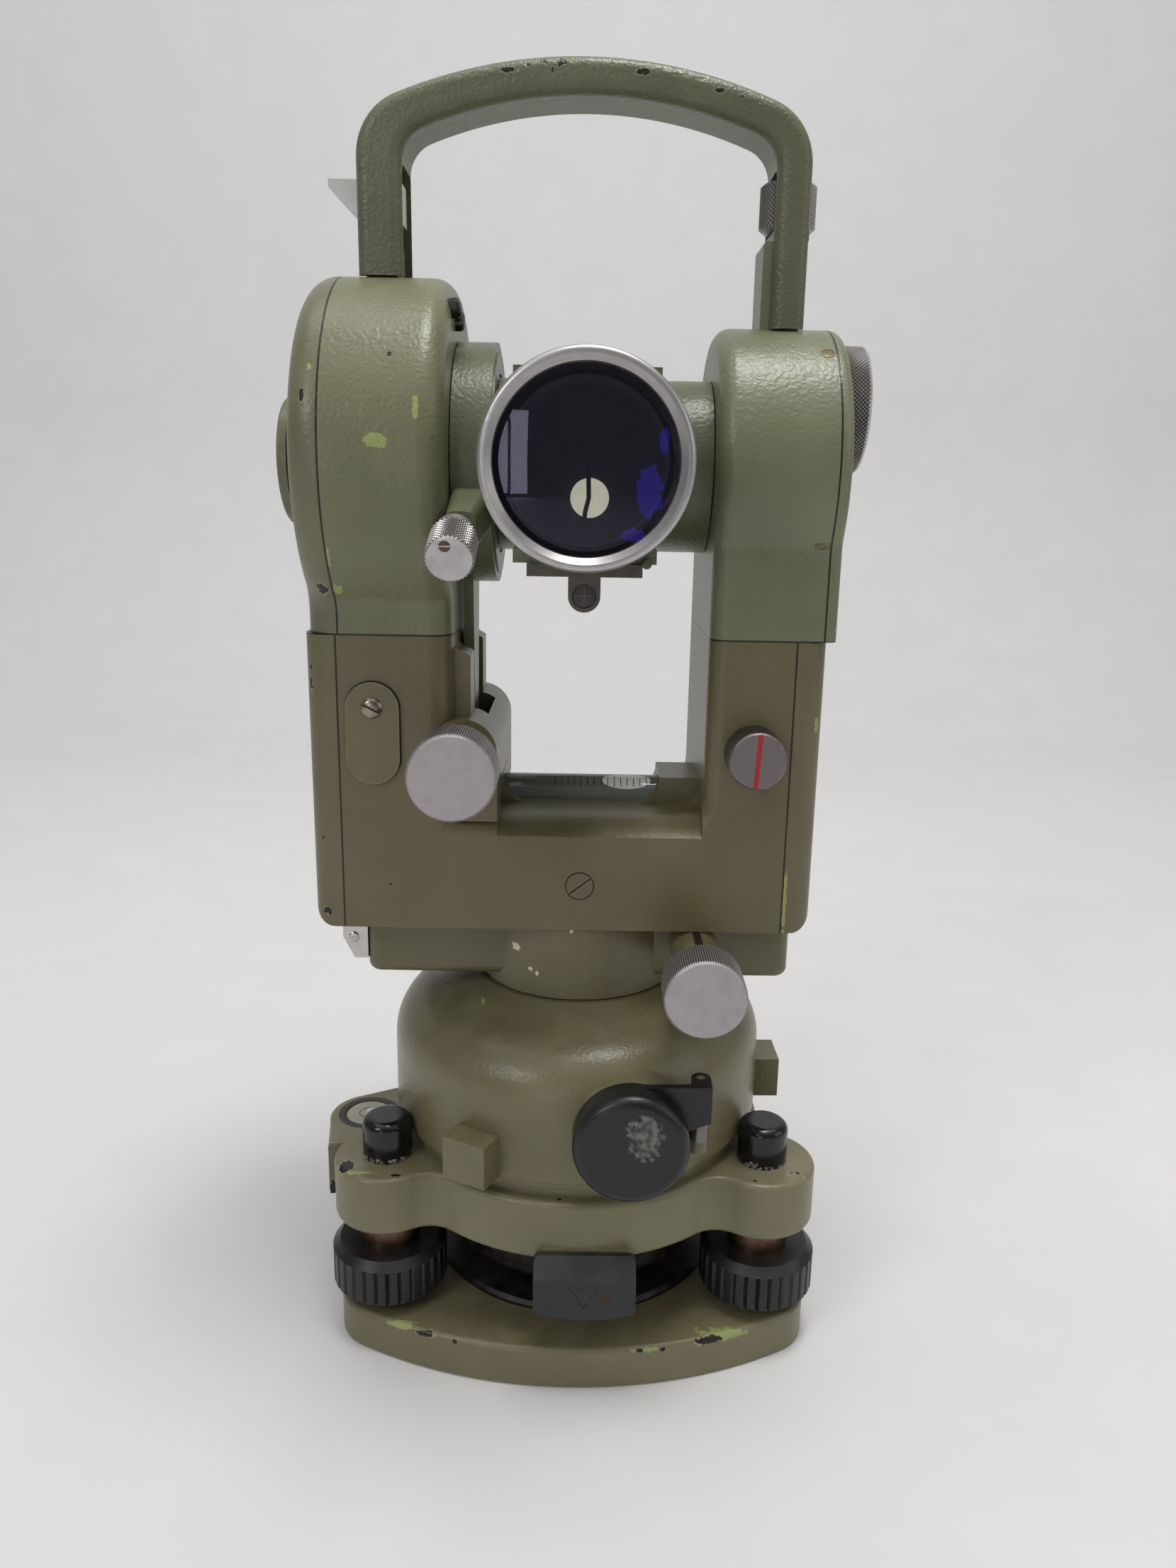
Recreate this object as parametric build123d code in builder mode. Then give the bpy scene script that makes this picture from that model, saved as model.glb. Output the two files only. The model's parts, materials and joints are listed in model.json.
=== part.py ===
from build123d import *
import math
import os

os.makedirs("parts", exist_ok=True)

# Optical one-second theodolite on a three-screw tribrach, in millimetres.
# Origin: underside of the base plate, on the vertical axis.
# +Z is up, -Y faces the operator, +X is the operator's right.

# Clearances
run_fit = 0.05
face_gap = 0.2
skin_gap = 0.3
knob_bevel = 0.7
overrun = 2.0
pick_gap = 1.0

# Base plate and tribrach
base_thick = 12.5
base_margin = 28.45
base_side_r = 130.0
base_corner_r = 14.5
base_edge_r = 1.6
base_foot_edge = 0.6
thread_r = 7.94
underside_recess_r = 34.0
underside_hub_r = 15.0
underside_recess_depth = 1.2
screw_angles = {"front_left": 210, "front_right": 330, "rear": 90}
spring_plate_thick = 2.0
spring_plate_hole_r = 10.0
tribrach_bottom = 39.0
tribrach_top = 56.7
tribrach_arm_r = 15.5
tribrach_waist_r = 9.0
tribrach_edge_r = 1.6
under_cup_bottom = 20.0
under_cup_edge_r = 3.0
under_cup_step = 3.0
spring_plate_gap = 1.7
tribrach_rim = 1.2

# Footscrews
foot_r = 4.0
foot_depth = 5.5
screw_knob_r = 16.8
screw_knob_h = 14.0
screw_knob_lift = 3.5
screw_knob_edge = 2.2
screw_flutes = 30
screw_flute_r = 1.1
screw_flute_sink = 0.35
screw_core_r = 5.0
screw_neck_r = 8.8
screw_neck_reach = 14.0
screw_cap_r = 7.2
screw_cap_h = 12.2
screw_cap_edge_r = 2.6
screw_cap_gap = 0.2

# Lock knob of the tribrach
lock_x = 3.2
lock_z = 35.2
lock_width = 28.0
lock_height = 14.6
lock_belly = 2.2
lock_depth = 6.4
lock_roof_rise = 4.4
lock_roof_run = 4.8
lock_edge_r = 1.6
lock_shaft_r = 3.2
lock_shaft_play = 1.0
lock_boss_half = 12.0
lock_boss_bottom = 27.5
lock_boss_depth = 15.0
lock_boss_root = 4.0

# Circular level
bubble_beside = 8.4
bubble_y = -10.0
bubble_lobe_r = 12.0
bubble_case_r = 9.3
bubble_glass_r = 7.6
bubble_depth = 7.0
bubble_floor = 1.6
bubble_glass_bevel = 1.0
lobe_front_in = 3.0
lobe_front_run = 18.0
lobe_back_in = 6.8
lobe_back_run = 10.8
lobe_root_in = 32.0
lobe_root_front = 10.0
lobe_root_back = 24.0

# Circle housing
flange_inset = 2.2
flange_thick = 4.2
flange_pin_r = 4.0
flange_pin_length = 8.0
flange_pin_inset = 15.9
flange_pin_start = 30
housing_r = 56.1
housing_wall = 4.0
housing_floor = 2.0
housing_lip = 0.8
neck_z = 104.5428
shoulder_r = 16.0
shoulder_slope = 20.7
neck_r = 31.0
lug_angles = (241.3, 1.3, 121.3)
lug_width = 13.5
lug_proud = 7.2
lug_sink = 4.0
lug_low = 62.0
lug_high = 74.5

# Vertical axis
bush_r = 16.0
axis_r = 11.0
axis_flange_r = 22.0
axis_flange_thick = 3.0
race_wall = 4.0
race_thick = 2.0
axis_reach = 8.0
hub_wall = 3.0
circle_gap = 8.1
circle_inner_r = 23.0
circle_thick = 3.0
carrier_thick = 4.0
carrier_step = 3.0

# Circle drive and its cover
cover_x = 14.8
cover_z = 79.0
cover_r = 15.6
cover_depth = 9.0
cover_stand_off = 1.9
seat_root = 0.7
cover_wall = 1.6
cover_edge_r = 3.0
circle_knob_r = 9.5
circle_knob_len = 6.0
circle_shaft_r = 3.0
pinion_r = 4.0
pinion_len = 5.0
pinion_inset = 6.0
hinge_x = 33.4
hinge_inset = 1.5
hinge_bracket_width = 8.4
hinge_bracket_depth = 8.0
ear_thick = 2.2
ear_lap = 0.4
ear_drop = 3.0
ear_inset = 2.0
hinge_leaf_depth = 5.2
hinge_r = 2.6
hinge_pin_r = 1.1
hinge_low = 73.0
hinge_split = 84.0
hinge_high = 94.6

# Drive housing under the alidade
collar_r = 29.7
collar_seam = 0.5
bar_half = 61.6
bar_front = 20.0
bar_bottom = 108.2
bar_edge_r = 2.6
collar_cave_r = 25.5
collar_cave_h = 14.0
clamp_ring_low = 3.0
clamp_arm_half = 3.0
clamp_arm_reach = 37.0
clamp_post_width = 8.0
clamp_post_top = 123.5
clamp_bay_half = 9.0
clamp_bay_floor = 1.8
clamp_bay_margin = 1.0
bar_corner_r = 4.0
clip_width = 7.2
clip_low = 112.0
clip_cut = 6.5
clip_inset = 2.0
drive_x = 33.0
drive_z = 120.0
drive_socket_r = 6.7
drive_socket_front = 50.0
drive_knob_r = 10.9
drive_knob_front = 62.0
drive_screw_r = 3.2
clamp_x = -33.0
clamp_z = 118.0
clamp_knob_r = 8.2
clamp_knob_len = 11.0
clamp_socket_r = 6.0
clamp_socket_len = 6.0
clamp_screw_r = 2.6

# Alidade frame
alidade_bottom = 126.8
alidade_top = 208.5
alidade_half = 31.0
frame_left = -65.3
frame_right = 56.5
side_cover_left = -74.0
side_cover_right = 65.0
side_cover_edge_r = 6.0
side_pocket_half = 24.0
side_pocket_margin = 8.0
side_pocket_r = 4.0
left_wall = -34.8
right_wall = 33.5
floor_thick = 31.2
floor_front_drop = 4.0
floor_slope_run = 15.0
floor_lip = 3.6
floor_corner_r = 7.0
ridge_height = 8.0
ridge_half = 10.0
bay_half = 22.7
bay_corner_r = 7.0
vial_r = 5.8
vial_half = 21.6
vial_lift = 0.4
vial_cap_len = 2.0

# Pocket of the vertical tangent screw
tangent_x = -32.05
tangent_lift = 19.1
barrel_r = 9.25
cheek_right = -30.3
cheek_step = 3.5
cheek_slant = 2.4
cheek_inner = 14.0
cheek_outer = 25.0
slot_right = -26.5
slot_half = 13.0
slot_lift = 10.0
tangent_socket_r = 7.0
tangent_socket_front = 47.0
tangent_knob_r = 11.25
tangent_knob_front = 60.0
tangent_screw_r = 3.0
tangent_play = 2.4
plunger_r = 4.0

# Front plate, screws and the selector on the frame
oval_x = -56.0
oval_z = 182.2
oval_width = 14.4
oval_height = 27.8
oval_thick = 1.2
selector_x = 46.1
selector_z = 178.5
selector_r = 7.7
selector_front = 42.0
selector_shaft_r = 2.5
selector_shaft_reach = 4.0

# Upper housings
tilt_z = 252.7
left_drum_r = 47.5
left_housing_outer = -64.6
left_cover_outer = -73.2
left_cover_edge_r = 7.6
left_inner_edge_r = 6.0
waist_r = 7.0
trim_depth = 10.0
circle_cave_r = 42.5
circle_cave_floor = -45.0
right_drum_r = 36.5
right_housing_outer = 63.5
right_cover_outer = 67.0
right_cover_edge_r = 3.0
right_inner_edge_r = 4.5
right_cave_r = 29.0
right_cave_floor = 46.0

# Tilting axis and telescope
trunnion_r = 23.0
journal_r = 20.0
axle_r = 12.0
axle_bore_r = 7.0
axle_left_end = -59.0
axle_right_end = 52.0
v_circle_r = 39.0
v_circle_x = -53.0
v_circle_thick = 3.0
v_hub_r = 17.0
v_hub_len = 4.0
axle_seat = 22.0
barrel_outer_r = 22.5
barrel_bore_r = 19.0
barrel_bore_rear = 29.0
barrel_front = 57.0
barrel_rear = 36.0
barrel_tail_r = 17.0
barrel_tail_rear = 50.0
barrel_step = 0.5
objective_r = 24.74
objective_front = 67.5
objective_glass_r = 21.4
objective_seat = 62.0
objective_bevel = 3.0
objective_edge_r = 1.4
lens_bulge = 1.6
focus_ring_r = 19.0
focus_ring_len = 15.0
focus_ribs = 20
eye_tube_r = 9.0
eye_ring_r = 12.6
eye_ring_len = 11.0
eye_end = 78.0
eye_lip = 1.0
eye_bore_r = 6.5
eye_bevel = 1.5
focus_notch = 1.2
sight_pad_half = 18.2
sight_pad_length = 24.0
sight_pad_drop = 24.4
sight_pad_rise = 22.9
sight_pad_thick = 3.6
sight_pad_root = 12.0
sight_pad_step = 2.0
sight_plate_half = 14.6
sight_plate_drop = 27.6
sight_plate_length = 22.0
sight_glass_recess = 1.0
sight_front = 40.0
sight_tube_drop = 32.4
sight_tube_r = 4.1
sight_glass_r = 3.1
scope_x = 26.3
scope_r = 4.6
scope_start = 12.0
scope_end = 70.0
scope_ring_start = 61.5
scope_ring_r = 6.4
scope_ring_len = 10.0

# Vertical clamp
clamp_outer_r = 32.0
clamp_left = -34.5
clamp_right = -24.3
clamp_angle = 21.5
clamp_boss_half = 5.6
clamp_boss_reach = 46.5
clamp_boss_right = -27.0
clamp_boss_edge_r = 2.4
clamp_retainer_r = 29.5
clamp_retainer_bore_r = 24.0
clamp_retainer_thick = 0.5
v_clamp_shaft_r = 2.0
v_clamp_shaft_start = 36.0
v_clamp_collar_r = 5.0
v_clamp_collar_reach = 50.5
v_clamp_knob_r = 6.1
v_clamp_reach = 62.3
v_clamp_x = -32.0
arm_left = -33.8
arm_right = -30.9
arm_top_half = 9.0
arm_bottom_half = 4.0
arm_foot_gap = 2.0

# Mirror on the left cover
mirror_ring_r = 14.5
mirror_ring_thick = 3.6
mirror_spigot_r = 11.0
mirror_spigot_len = 5.0
mirror_r = 16.9
mirror_thick = 2.6
mirror_outer = -82.3
mirror_hinge_drop = 15.6
mirror_pin_x = -78.6
mirror_pin_r = 1.0
mirror_knuckle_r = 1.8
mirror_knuckle_half = 4.0
mirror_lug_thick = 2.0
mirror_notch_width = 2.6
mirror_notch_reach = 2.6
mirror_window_r = 8.0
mirror_edge_r = 0.8

# Micrometer drum on the right cover
drum_z = 268.8
drum_r = 16.8
drum_thick = 7.8
drum_edge_r = 1.2
drum_shaft_r = 4.0
drum_shaft_len = 14.0

# Handle
handle_half = 10.4
handle_edge_r = 3.2
left_leg_outer = -60.5
left_leg_inner = -48.6
right_leg_outer = 57.0
right_leg_inner = 47.8
foot_gap = 0.2
crown_z = 352.2
crown_inner_z = 343.4
crown_rise = 13.6
crown_inner_rise = 10.4
handle_corner_r = 16.0
handle_inner_corner_r = 9.0
window_half = 7.9
window_corner_r = 2.5
left_window_top = 327.0
right_window_top = 327.5
lug_half = 7.4
lug_edge_r = 1.2
right_lug_left = 45.4
right_lug_right = 55.6
right_lug_top = 310.2
left_lug_left = -58.6
left_lug_right = -50.4
left_lug_top = 309.5
web_thick = 2.4
web_lap = 0.5
lug_root = 3.0
handle_knob_x = 52.3
handle_knob_r = 7.5
handle_knob_low = 313.4
handle_knob_high = 325.4
handle_stem_r = 2.5
handle_stem_depth = 10.0
lever_tip_x = -68.3
lever_top = 323.5
lever_low = 313.6
lever_half = 5.4
lever_inner = -49.6
lever_tip_thick = 2.0
lever_pin_r = 1.4
lever_pin_x = -56.4
lever_pin_z = 318.6


def facing(y):
    """The upright plane at depth y whose sketches extrude towards the operator."""
    return Plane.XZ.offset(-y)


def polar(radius, angle):
    """The point on the ground plan at a radius and an angle in degrees."""
    return (radius * math.cos(math.radians(angle)), radius * math.sin(math.radians(angle)))


# Plan sizes that follow the circle housing
screw_circle_r = housing_r + screw_cap_r + screw_cap_gap
base_front = screw_circle_r / 2 + base_margin
base_side_offset = base_side_r - base_front
spring_plate_r = screw_circle_r - screw_knob_r - spring_plate_gap
under_cup_r = spring_plate_r - under_cup_step
tribrach_drum_r = housing_r + tribrach_rim
bubble_x = -housing_r - bubble_beside
flange_r = housing_r - flange_inset
flange_pin_circle = flange_r - flange_pin_inset
lug_reach = housing_r + lug_proud
cover_back = housing_r + cover_stand_off
cover_front = cover_back + cover_depth
hinge_y = housing_r - hinge_inset
circle_outer_r = housing_r - housing_wall - circle_gap
pinion_y = circle_outer_r - pinion_inset

# Worked-out levels
knob_bottom = base_thick + screw_knob_lift
knob_top = knob_bottom + screw_knob_h
neck_top = tribrach_bottom + screw_neck_reach
flange_top = tribrach_top + flange_thick
slope = math.radians(shoulder_slope)
shoulder_x = housing_r - shoulder_r + shoulder_r * math.sin(slope)
shoulder_top = neck_z - (shoulder_x - neck_r) * math.tan(slope)
shoulder_z = shoulder_top - shoulder_r * math.cos(slope)
arc_mid = math.radians((90 - shoulder_slope) / 2)
shoulder_mid = (
    housing_r - shoulder_r + shoulder_r * math.cos(arc_mid),
    shoulder_z + shoulder_r * math.sin(arc_mid),
)
collar_bottom = neck_z + collar_seam
cave_top = collar_bottom + collar_cave_h
bush_top = cave_top - axis_flange_thick - race_thick - run_fit
hub_r = bush_r + hub_wall
carrier_bottom = cover_z + pinion_r + run_fit
circle_bottom = carrier_bottom + carrier_thick
lens_radius = (objective_glass_r**2 + lens_bulge**2) / (2 * lens_bulge)
floor_z = alidade_bottom + floor_thick
ridge_z = floor_z + ridge_height
vial_z = floor_z + vial_lift
tangent_z = floor_z + tangent_lift
slot_floor = floor_z + slot_lift
arm_bottom = slot_floor + arm_foot_gap
cheek_top = alidade_top - cheek_step
side_pocket_height = alidade_top - alidade_bottom - 2 * side_pocket_margin
screw_points = {name: polar(screw_circle_r, angle) for name, angle in screw_angles.items()}

# Base plate: three bulged sides round the footscrews, with the tripod thread in its middle
with BuildPart() as base_plate:
    with BuildSketch(Plane.XY):
        Circle(base_side_r + base_side_offset)
        for angle in screw_angles.values():
            with Locations(polar(base_side_offset, angle)):
                Circle(base_side_r, mode=Mode.INTERSECT)
        fillet(vertices(), base_corner_r)
    extrude(amount=base_thick)
    fillet(edges().group_by(Axis.Z)[-1], base_edge_r)
    chamfer(edges().group_by(Axis.Z)[0], base_foot_edge)
    with BuildSketch(Plane.XY):
        Circle(underside_recess_r)
        Circle(underside_hub_r, mode=Mode.SUBTRACT)
    extrude(amount=underside_recess_depth, mode=Mode.SUBTRACT)
    with BuildSketch(Plane.XY.offset(base_thick)):
        with Locations(*screw_points.values()):
            Circle(foot_r + run_fit)
    extrude(amount=-foot_depth - face_gap, mode=Mode.SUBTRACT)
    with BuildSketch(Plane.XY):
        Circle(thread_r)
    extrude(amount=base_thick, mode=Mode.SUBTRACT)
base_plate.part.label = "base_plate"
export_step(base_plate.part, "parts/base_plate.step")

# Spring plate that pulls the footscrews down into the base plate
with BuildPart() as spring_plate:
    with BuildSketch(Plane.XY.offset(base_thick)):
        Circle(spring_plate_r)
        Circle(spring_plate_hole_r, mode=Mode.SUBTRACT)
    extrude(amount=spring_plate_thick)
    chamfer(edges().group_by(Axis.Z)[-1].sort_by(SortBy.RADIUS)[-1], spring_plate_thick / 2)
spring_plate.part.label = "spring_plate"
export_step(spring_plate.part, "parts/spring_plate.step")

# Black cup below the tribrach, which covers the lock ring
with BuildPart() as under_cup:
    with BuildSketch(Plane.XY.offset(under_cup_bottom)):
        Circle(under_cup_r)
    extrude(amount=tribrach_bottom - under_cup_bottom)
    fillet(edges().group_by(Axis.Z)[0], under_cup_edge_r)
    with BuildSketch(Plane.XY.offset(under_cup_bottom)):
        Circle(spring_plate_hole_r)
    extrude(amount=tribrach_bottom - under_cup_bottom, mode=Mode.SUBTRACT)
under_cup.part.label = "under_cup"
export_step(under_cup.part, "parts/under_cup.step")

# Tribrach body: a drum with three arms, a lobe for the circular level and a boss for the lock
lobe_left = bubble_x - bubble_lobe_r
with BuildPart() as tribrach_body:
    with BuildSketch(Plane.XY.offset(tribrach_bottom)):
        Circle(tribrach_drum_r)
        for angle in screw_angles.values():
            with Locations(Location(polar(screw_circle_r / 2, angle), angle)):
                Rectangle(screw_circle_r, 2 * tribrach_arm_r)
            with Locations(polar(screw_circle_r, angle)):
                Circle(tribrach_arm_r)
        waists = [v for v in vertices() if abs(math.hypot(v.X, v.Y) - tribrach_drum_r) < 0.01]
        fillet(waists, tribrach_waist_r)
    extrude(amount=tribrach_top - tribrach_bottom)
    with BuildSketch(Plane.XY.offset(tribrach_bottom)):
        with Locations((bubble_x, bubble_y)):
            Circle(bubble_lobe_r)
        with BuildLine():
            Polyline(
                (lobe_left, bubble_y),
                (lobe_left + lobe_front_in, bubble_y - lobe_front_run),
                (lobe_left + lobe_root_in, bubble_y - lobe_root_front),
                (lobe_left + lobe_root_in, bubble_y + lobe_root_back),
                (lobe_left + lobe_back_in, bubble_y + lobe_back_run),
                close=True,
            )
        make_face()
    extrude(amount=tribrach_top - tribrach_bottom)
    fillet(edges().group_by(Axis.Z)[-1], tribrach_edge_r)
    fillet(edges().group_by(Axis.Z)[0], tribrach_edge_r)
    with BuildSketch(Plane.XY.offset(lock_boss_bottom)):
        with Locations((lock_x, -tribrach_drum_r + lock_boss_depth / 2)):
            Rectangle(2 * lock_boss_half, lock_boss_depth)
    extrude(amount=tribrach_bottom - lock_boss_bottom + lock_boss_root)
    with BuildSketch(Plane.XY.offset(tribrach_bottom)):
        with Locations(*screw_points.values()):
            Circle(screw_neck_r + run_fit)
    extrude(amount=screw_neck_reach + face_gap, mode=Mode.SUBTRACT)
    with BuildSketch(Plane.XY.offset(tribrach_top)):
        with Locations((bubble_x, bubble_y)):
            Circle(bubble_case_r)
    extrude(amount=-bubble_depth, mode=Mode.SUBTRACT)
    with BuildSketch(Plane.XY.offset(tribrach_top)):
        with PolarLocations(flange_pin_circle, 3, start_angle=flange_pin_start):
            Circle(flange_pin_r + run_fit)
    extrude(amount=-flange_pin_length - face_gap, mode=Mode.SUBTRACT)
    with BuildSketch(facing(-tribrach_drum_r + lock_boss_depth)):
        with Locations((lock_x, lock_z)):
            Circle(lock_shaft_r + run_fit)
    extrude(amount=lock_boss_depth + overrun, mode=Mode.SUBTRACT)
tribrach_body.part.label = "tribrach_body"
export_step(tribrach_body.part, "parts/tribrach_body.step")

# Circular level: a cup in the lobe and the glass in it
with BuildPart() as level_case:
    with BuildSketch(Plane.XY.offset(tribrach_top - bubble_depth)):
        with Locations((bubble_x, bubble_y)):
            Circle(bubble_case_r)
    extrude(amount=bubble_depth)
    with BuildSketch(Plane.XY.offset(tribrach_top)):
        with Locations((bubble_x, bubble_y)):
            Circle(bubble_glass_r)
    extrude(amount=bubble_floor - bubble_depth, mode=Mode.SUBTRACT)
level_case.part.label = "circular_level_case"
export_step(level_case.part, "parts/circular_level_case.step")

with BuildPart() as level_glass:
    with BuildSketch(Plane.XY.offset(tribrach_top - bubble_depth + bubble_floor)):
        with Locations((bubble_x, bubble_y)):
            Circle(bubble_glass_r)
    extrude(amount=bubble_depth - bubble_floor)
    chamfer(edges().group_by(Axis.Z)[-1], bubble_glass_bevel)
level_glass.part.label = "circular_level_glass"
export_step(level_glass.part, "parts/circular_level_glass.step")

# Caps over the footscrew heads
with BuildPart() as screw_caps:
    with BuildSketch(Plane.XY.offset(tribrach_top)):
        with Locations(*screw_points.values()):
            Circle(screw_cap_r)
    extrude(amount=screw_cap_h)
    fillet(edges().group_by(Axis.Z)[-1], screw_cap_edge_r)
screw_caps.part.label = "footscrew_caps"
export_step(screw_caps.part, "parts/footscrew_caps.step")

# Footscrews: a fluted knob pressed on a bronze spindle, whose ball foot stands in the base plate
for name, (screw_x, screw_y) in screw_points.items():
    with BuildPart() as screw_spindle:
        with BuildSketch(Plane.XY.offset(base_thick - foot_depth)):
            with Locations((screw_x, screw_y)):
                Circle(foot_r)
        extrude(amount=foot_depth + screw_knob_lift)
        with BuildSketch(Plane.XY.offset(knob_bottom)):
            with Locations((screw_x, screw_y)):
                Circle(screw_core_r)
        extrude(amount=screw_knob_h)
        with BuildSketch(Plane.XY.offset(knob_top)):
            with Locations((screw_x, screw_y)):
                Circle(screw_neck_r)
        extrude(amount=neck_top - knob_top)
    screw_spindle.part.label = f"footscrew_spindle_{name}"
    export_step(screw_spindle.part, f"parts/footscrew_spindle_{name}.step")

    with BuildPart() as screw_knob:
        with BuildSketch(Plane.XY.offset(knob_bottom)):
            with Locations((screw_x, screw_y)):
                Circle(screw_knob_r)
        extrude(amount=screw_knob_h)
        chamfer(edges().group_by(Axis.Z)[-1], screw_knob_edge)
        chamfer(edges().group_by(Axis.Z)[0], screw_knob_edge / 2)
        with BuildSketch(Plane.XY.offset(knob_bottom)):
            with Locations((screw_x, screw_y)):
                with PolarLocations(screw_knob_r + screw_flute_sink * screw_flute_r, screw_flutes):
                    RegularPolygon(screw_flute_r, 4)
        extrude(amount=screw_knob_h - screw_knob_edge, mode=Mode.SUBTRACT)
        with BuildSketch(Plane.XY.offset(knob_bottom)):
            with Locations((screw_x, screw_y)):
                Circle(screw_core_r)
        extrude(amount=screw_knob_h, mode=Mode.SUBTRACT)
    screw_knob.part.label = f"footscrew_knob_{name}"
    export_step(screw_knob.part, f"parts/footscrew_knob_{name}.step")

# Lock knob with its roofed grip, on a shaft that turns the lock ring
lock_back = -tribrach_drum_r - skin_gap
with BuildPart() as lock_knob:
    with BuildSketch(facing(lock_back)):
        with Locations((lock_x, lock_z)):
            Rectangle(lock_width, lock_height)
        with BuildLine():
            ThreePointArc(
                (lock_x - lock_width / 2, lock_z - lock_height / 2),
                (lock_x, lock_z - lock_height / 2 - lock_belly),
                (lock_x + lock_width / 2, lock_z - lock_height / 2),
            )
            Line(
                (lock_x + lock_width / 2, lock_z - lock_height / 2),
                (lock_x - lock_width / 2, lock_z - lock_height / 2),
            )
        make_face()
    extrude(amount=lock_depth)
    roof_edge = edges().filter_by(Axis.X).group_by(Axis.Z)[-1].sort_by(Axis.Y)[0]
    roof_face = faces().sort_by(Axis.Z)[-1]
    chamfer(roof_edge, length=lock_roof_run, length2=lock_roof_rise, reference=roof_face)
    fillet(edges().filter_by(Axis.Y), lock_edge_r)
    with BuildSketch(facing(-tribrach_drum_r + lock_boss_depth - lock_shaft_play)):
        with Locations((lock_x, lock_z)):
            Circle(lock_shaft_r)
    extrude(amount=lock_boss_depth - lock_shaft_play + skin_gap)
lock_knob.part.label = "lock_knob"
export_step(lock_knob.part, "parts/lock_knob.step")

# Centring flange with the three pins that stand in the tribrach
with BuildPart() as centring_flange:
    with BuildSketch(Plane.XY.offset(tribrach_top)):
        Circle(flange_r)
    extrude(amount=flange_thick)
    with BuildSketch(Plane.XY.offset(tribrach_top)):
        with PolarLocations(flange_pin_circle, 3, start_angle=flange_pin_start):
            Circle(flange_pin_r)
    extrude(amount=-flange_pin_length)
centring_flange.part.label = "centring_flange"
export_step(centring_flange.part, "parts/centring_flange.step")

# Circle housing: a domed shell with three lugs and the seat of the circle drive
with BuildPart() as circle_housing:
    with BuildSketch(Plane.XZ):
        with BuildLine():
            Polyline(
                (bush_r, neck_z),
                (bush_r, flange_top + housing_floor),
                (flange_r - housing_wall, flange_top + housing_floor),
                (flange_r - housing_wall, flange_top),
                (housing_r - housing_lip, flange_top),
                (housing_r - housing_lip, flange_top + housing_lip),
                (housing_r, flange_top + 2 * housing_lip),
                (housing_r, shoulder_z),
            )
            ThreePointArc((housing_r, shoulder_z), shoulder_mid, (shoulder_x, shoulder_top))
            Polyline((shoulder_x, shoulder_top), (neck_r, neck_z), (bush_r, neck_z))
        make_face()
    revolve(axis=Axis.Z)
    for angle in lug_angles:
        with BuildSketch(Plane.XY.offset(lug_low)):
            with Locations(Location(polar((housing_r + lug_reach - lug_sink) / 2, angle), angle)):
                Rectangle(lug_reach - housing_r + lug_sink, lug_width)
        extrude(amount=lug_high - lug_low)
    with BuildSketch(Plane.XZ):
        with BuildLine():
            Polyline(
                (hub_r, flange_top),
                (housing_r - housing_wall, flange_top),
                (housing_r - housing_wall, shoulder_z),
                (shoulder_x - housing_wall, shoulder_top - housing_wall),
                (hub_r, neck_z - housing_wall),
                (hub_r, carrier_bottom - run_fit),
                (hub_r + carrier_step, carrier_bottom - run_fit),
                (hub_r + carrier_step, carrier_bottom - carrier_step),
                (hub_r, carrier_bottom - carrier_step),
                close=True,
            )
        make_face()
    revolve(axis=Axis.Z, mode=Mode.SUBTRACT)
    with BuildSketch(facing(-housing_r / 2)):
        with Locations((cover_x, cover_z)):
            Circle(circle_shaft_r + run_fit)
    extrude(amount=housing_r, mode=Mode.SUBTRACT)
circle_housing.part.label = "circle_housing"
export_step(circle_housing.part, "parts/circle_housing.step")

# Steel bush of the vertical axis, with the neck that the horizontal clamp grips
with BuildPart() as axis_bush:
    with BuildSketch(Plane.XY.offset(flange_top)):
        Circle(bush_r)
        Circle(axis_r + run_fit, mode=Mode.SUBTRACT)
    extrude(amount=bush_top - flange_top)
axis_bush.part.label = "axis_bush"
export_step(axis_bush.part, "parts/axis_bush.step")

# Horizontal circle: the glass ring on its carrier, which turns on the bush
with BuildPart() as circle_carrier:
    with BuildSketch(Plane.XY.offset(carrier_bottom)):
        Circle(circle_outer_r)
        Circle(hub_r + run_fit, mode=Mode.SUBTRACT)
    extrude(amount=carrier_thick)
circle_carrier.part.label = "circle_carrier"
export_step(circle_carrier.part, "parts/circle_carrier.step")

with BuildPart() as horizontal_circle:
    with BuildSketch(Plane.XY.offset(circle_bottom)):
        Circle(circle_outer_r)
        Circle(circle_inner_r, mode=Mode.SUBTRACT)
    extrude(amount=circle_thick)
horizontal_circle.part.label = "horizontal_circle"
export_step(horizontal_circle.part, "parts/horizontal_circle.step")

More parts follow.
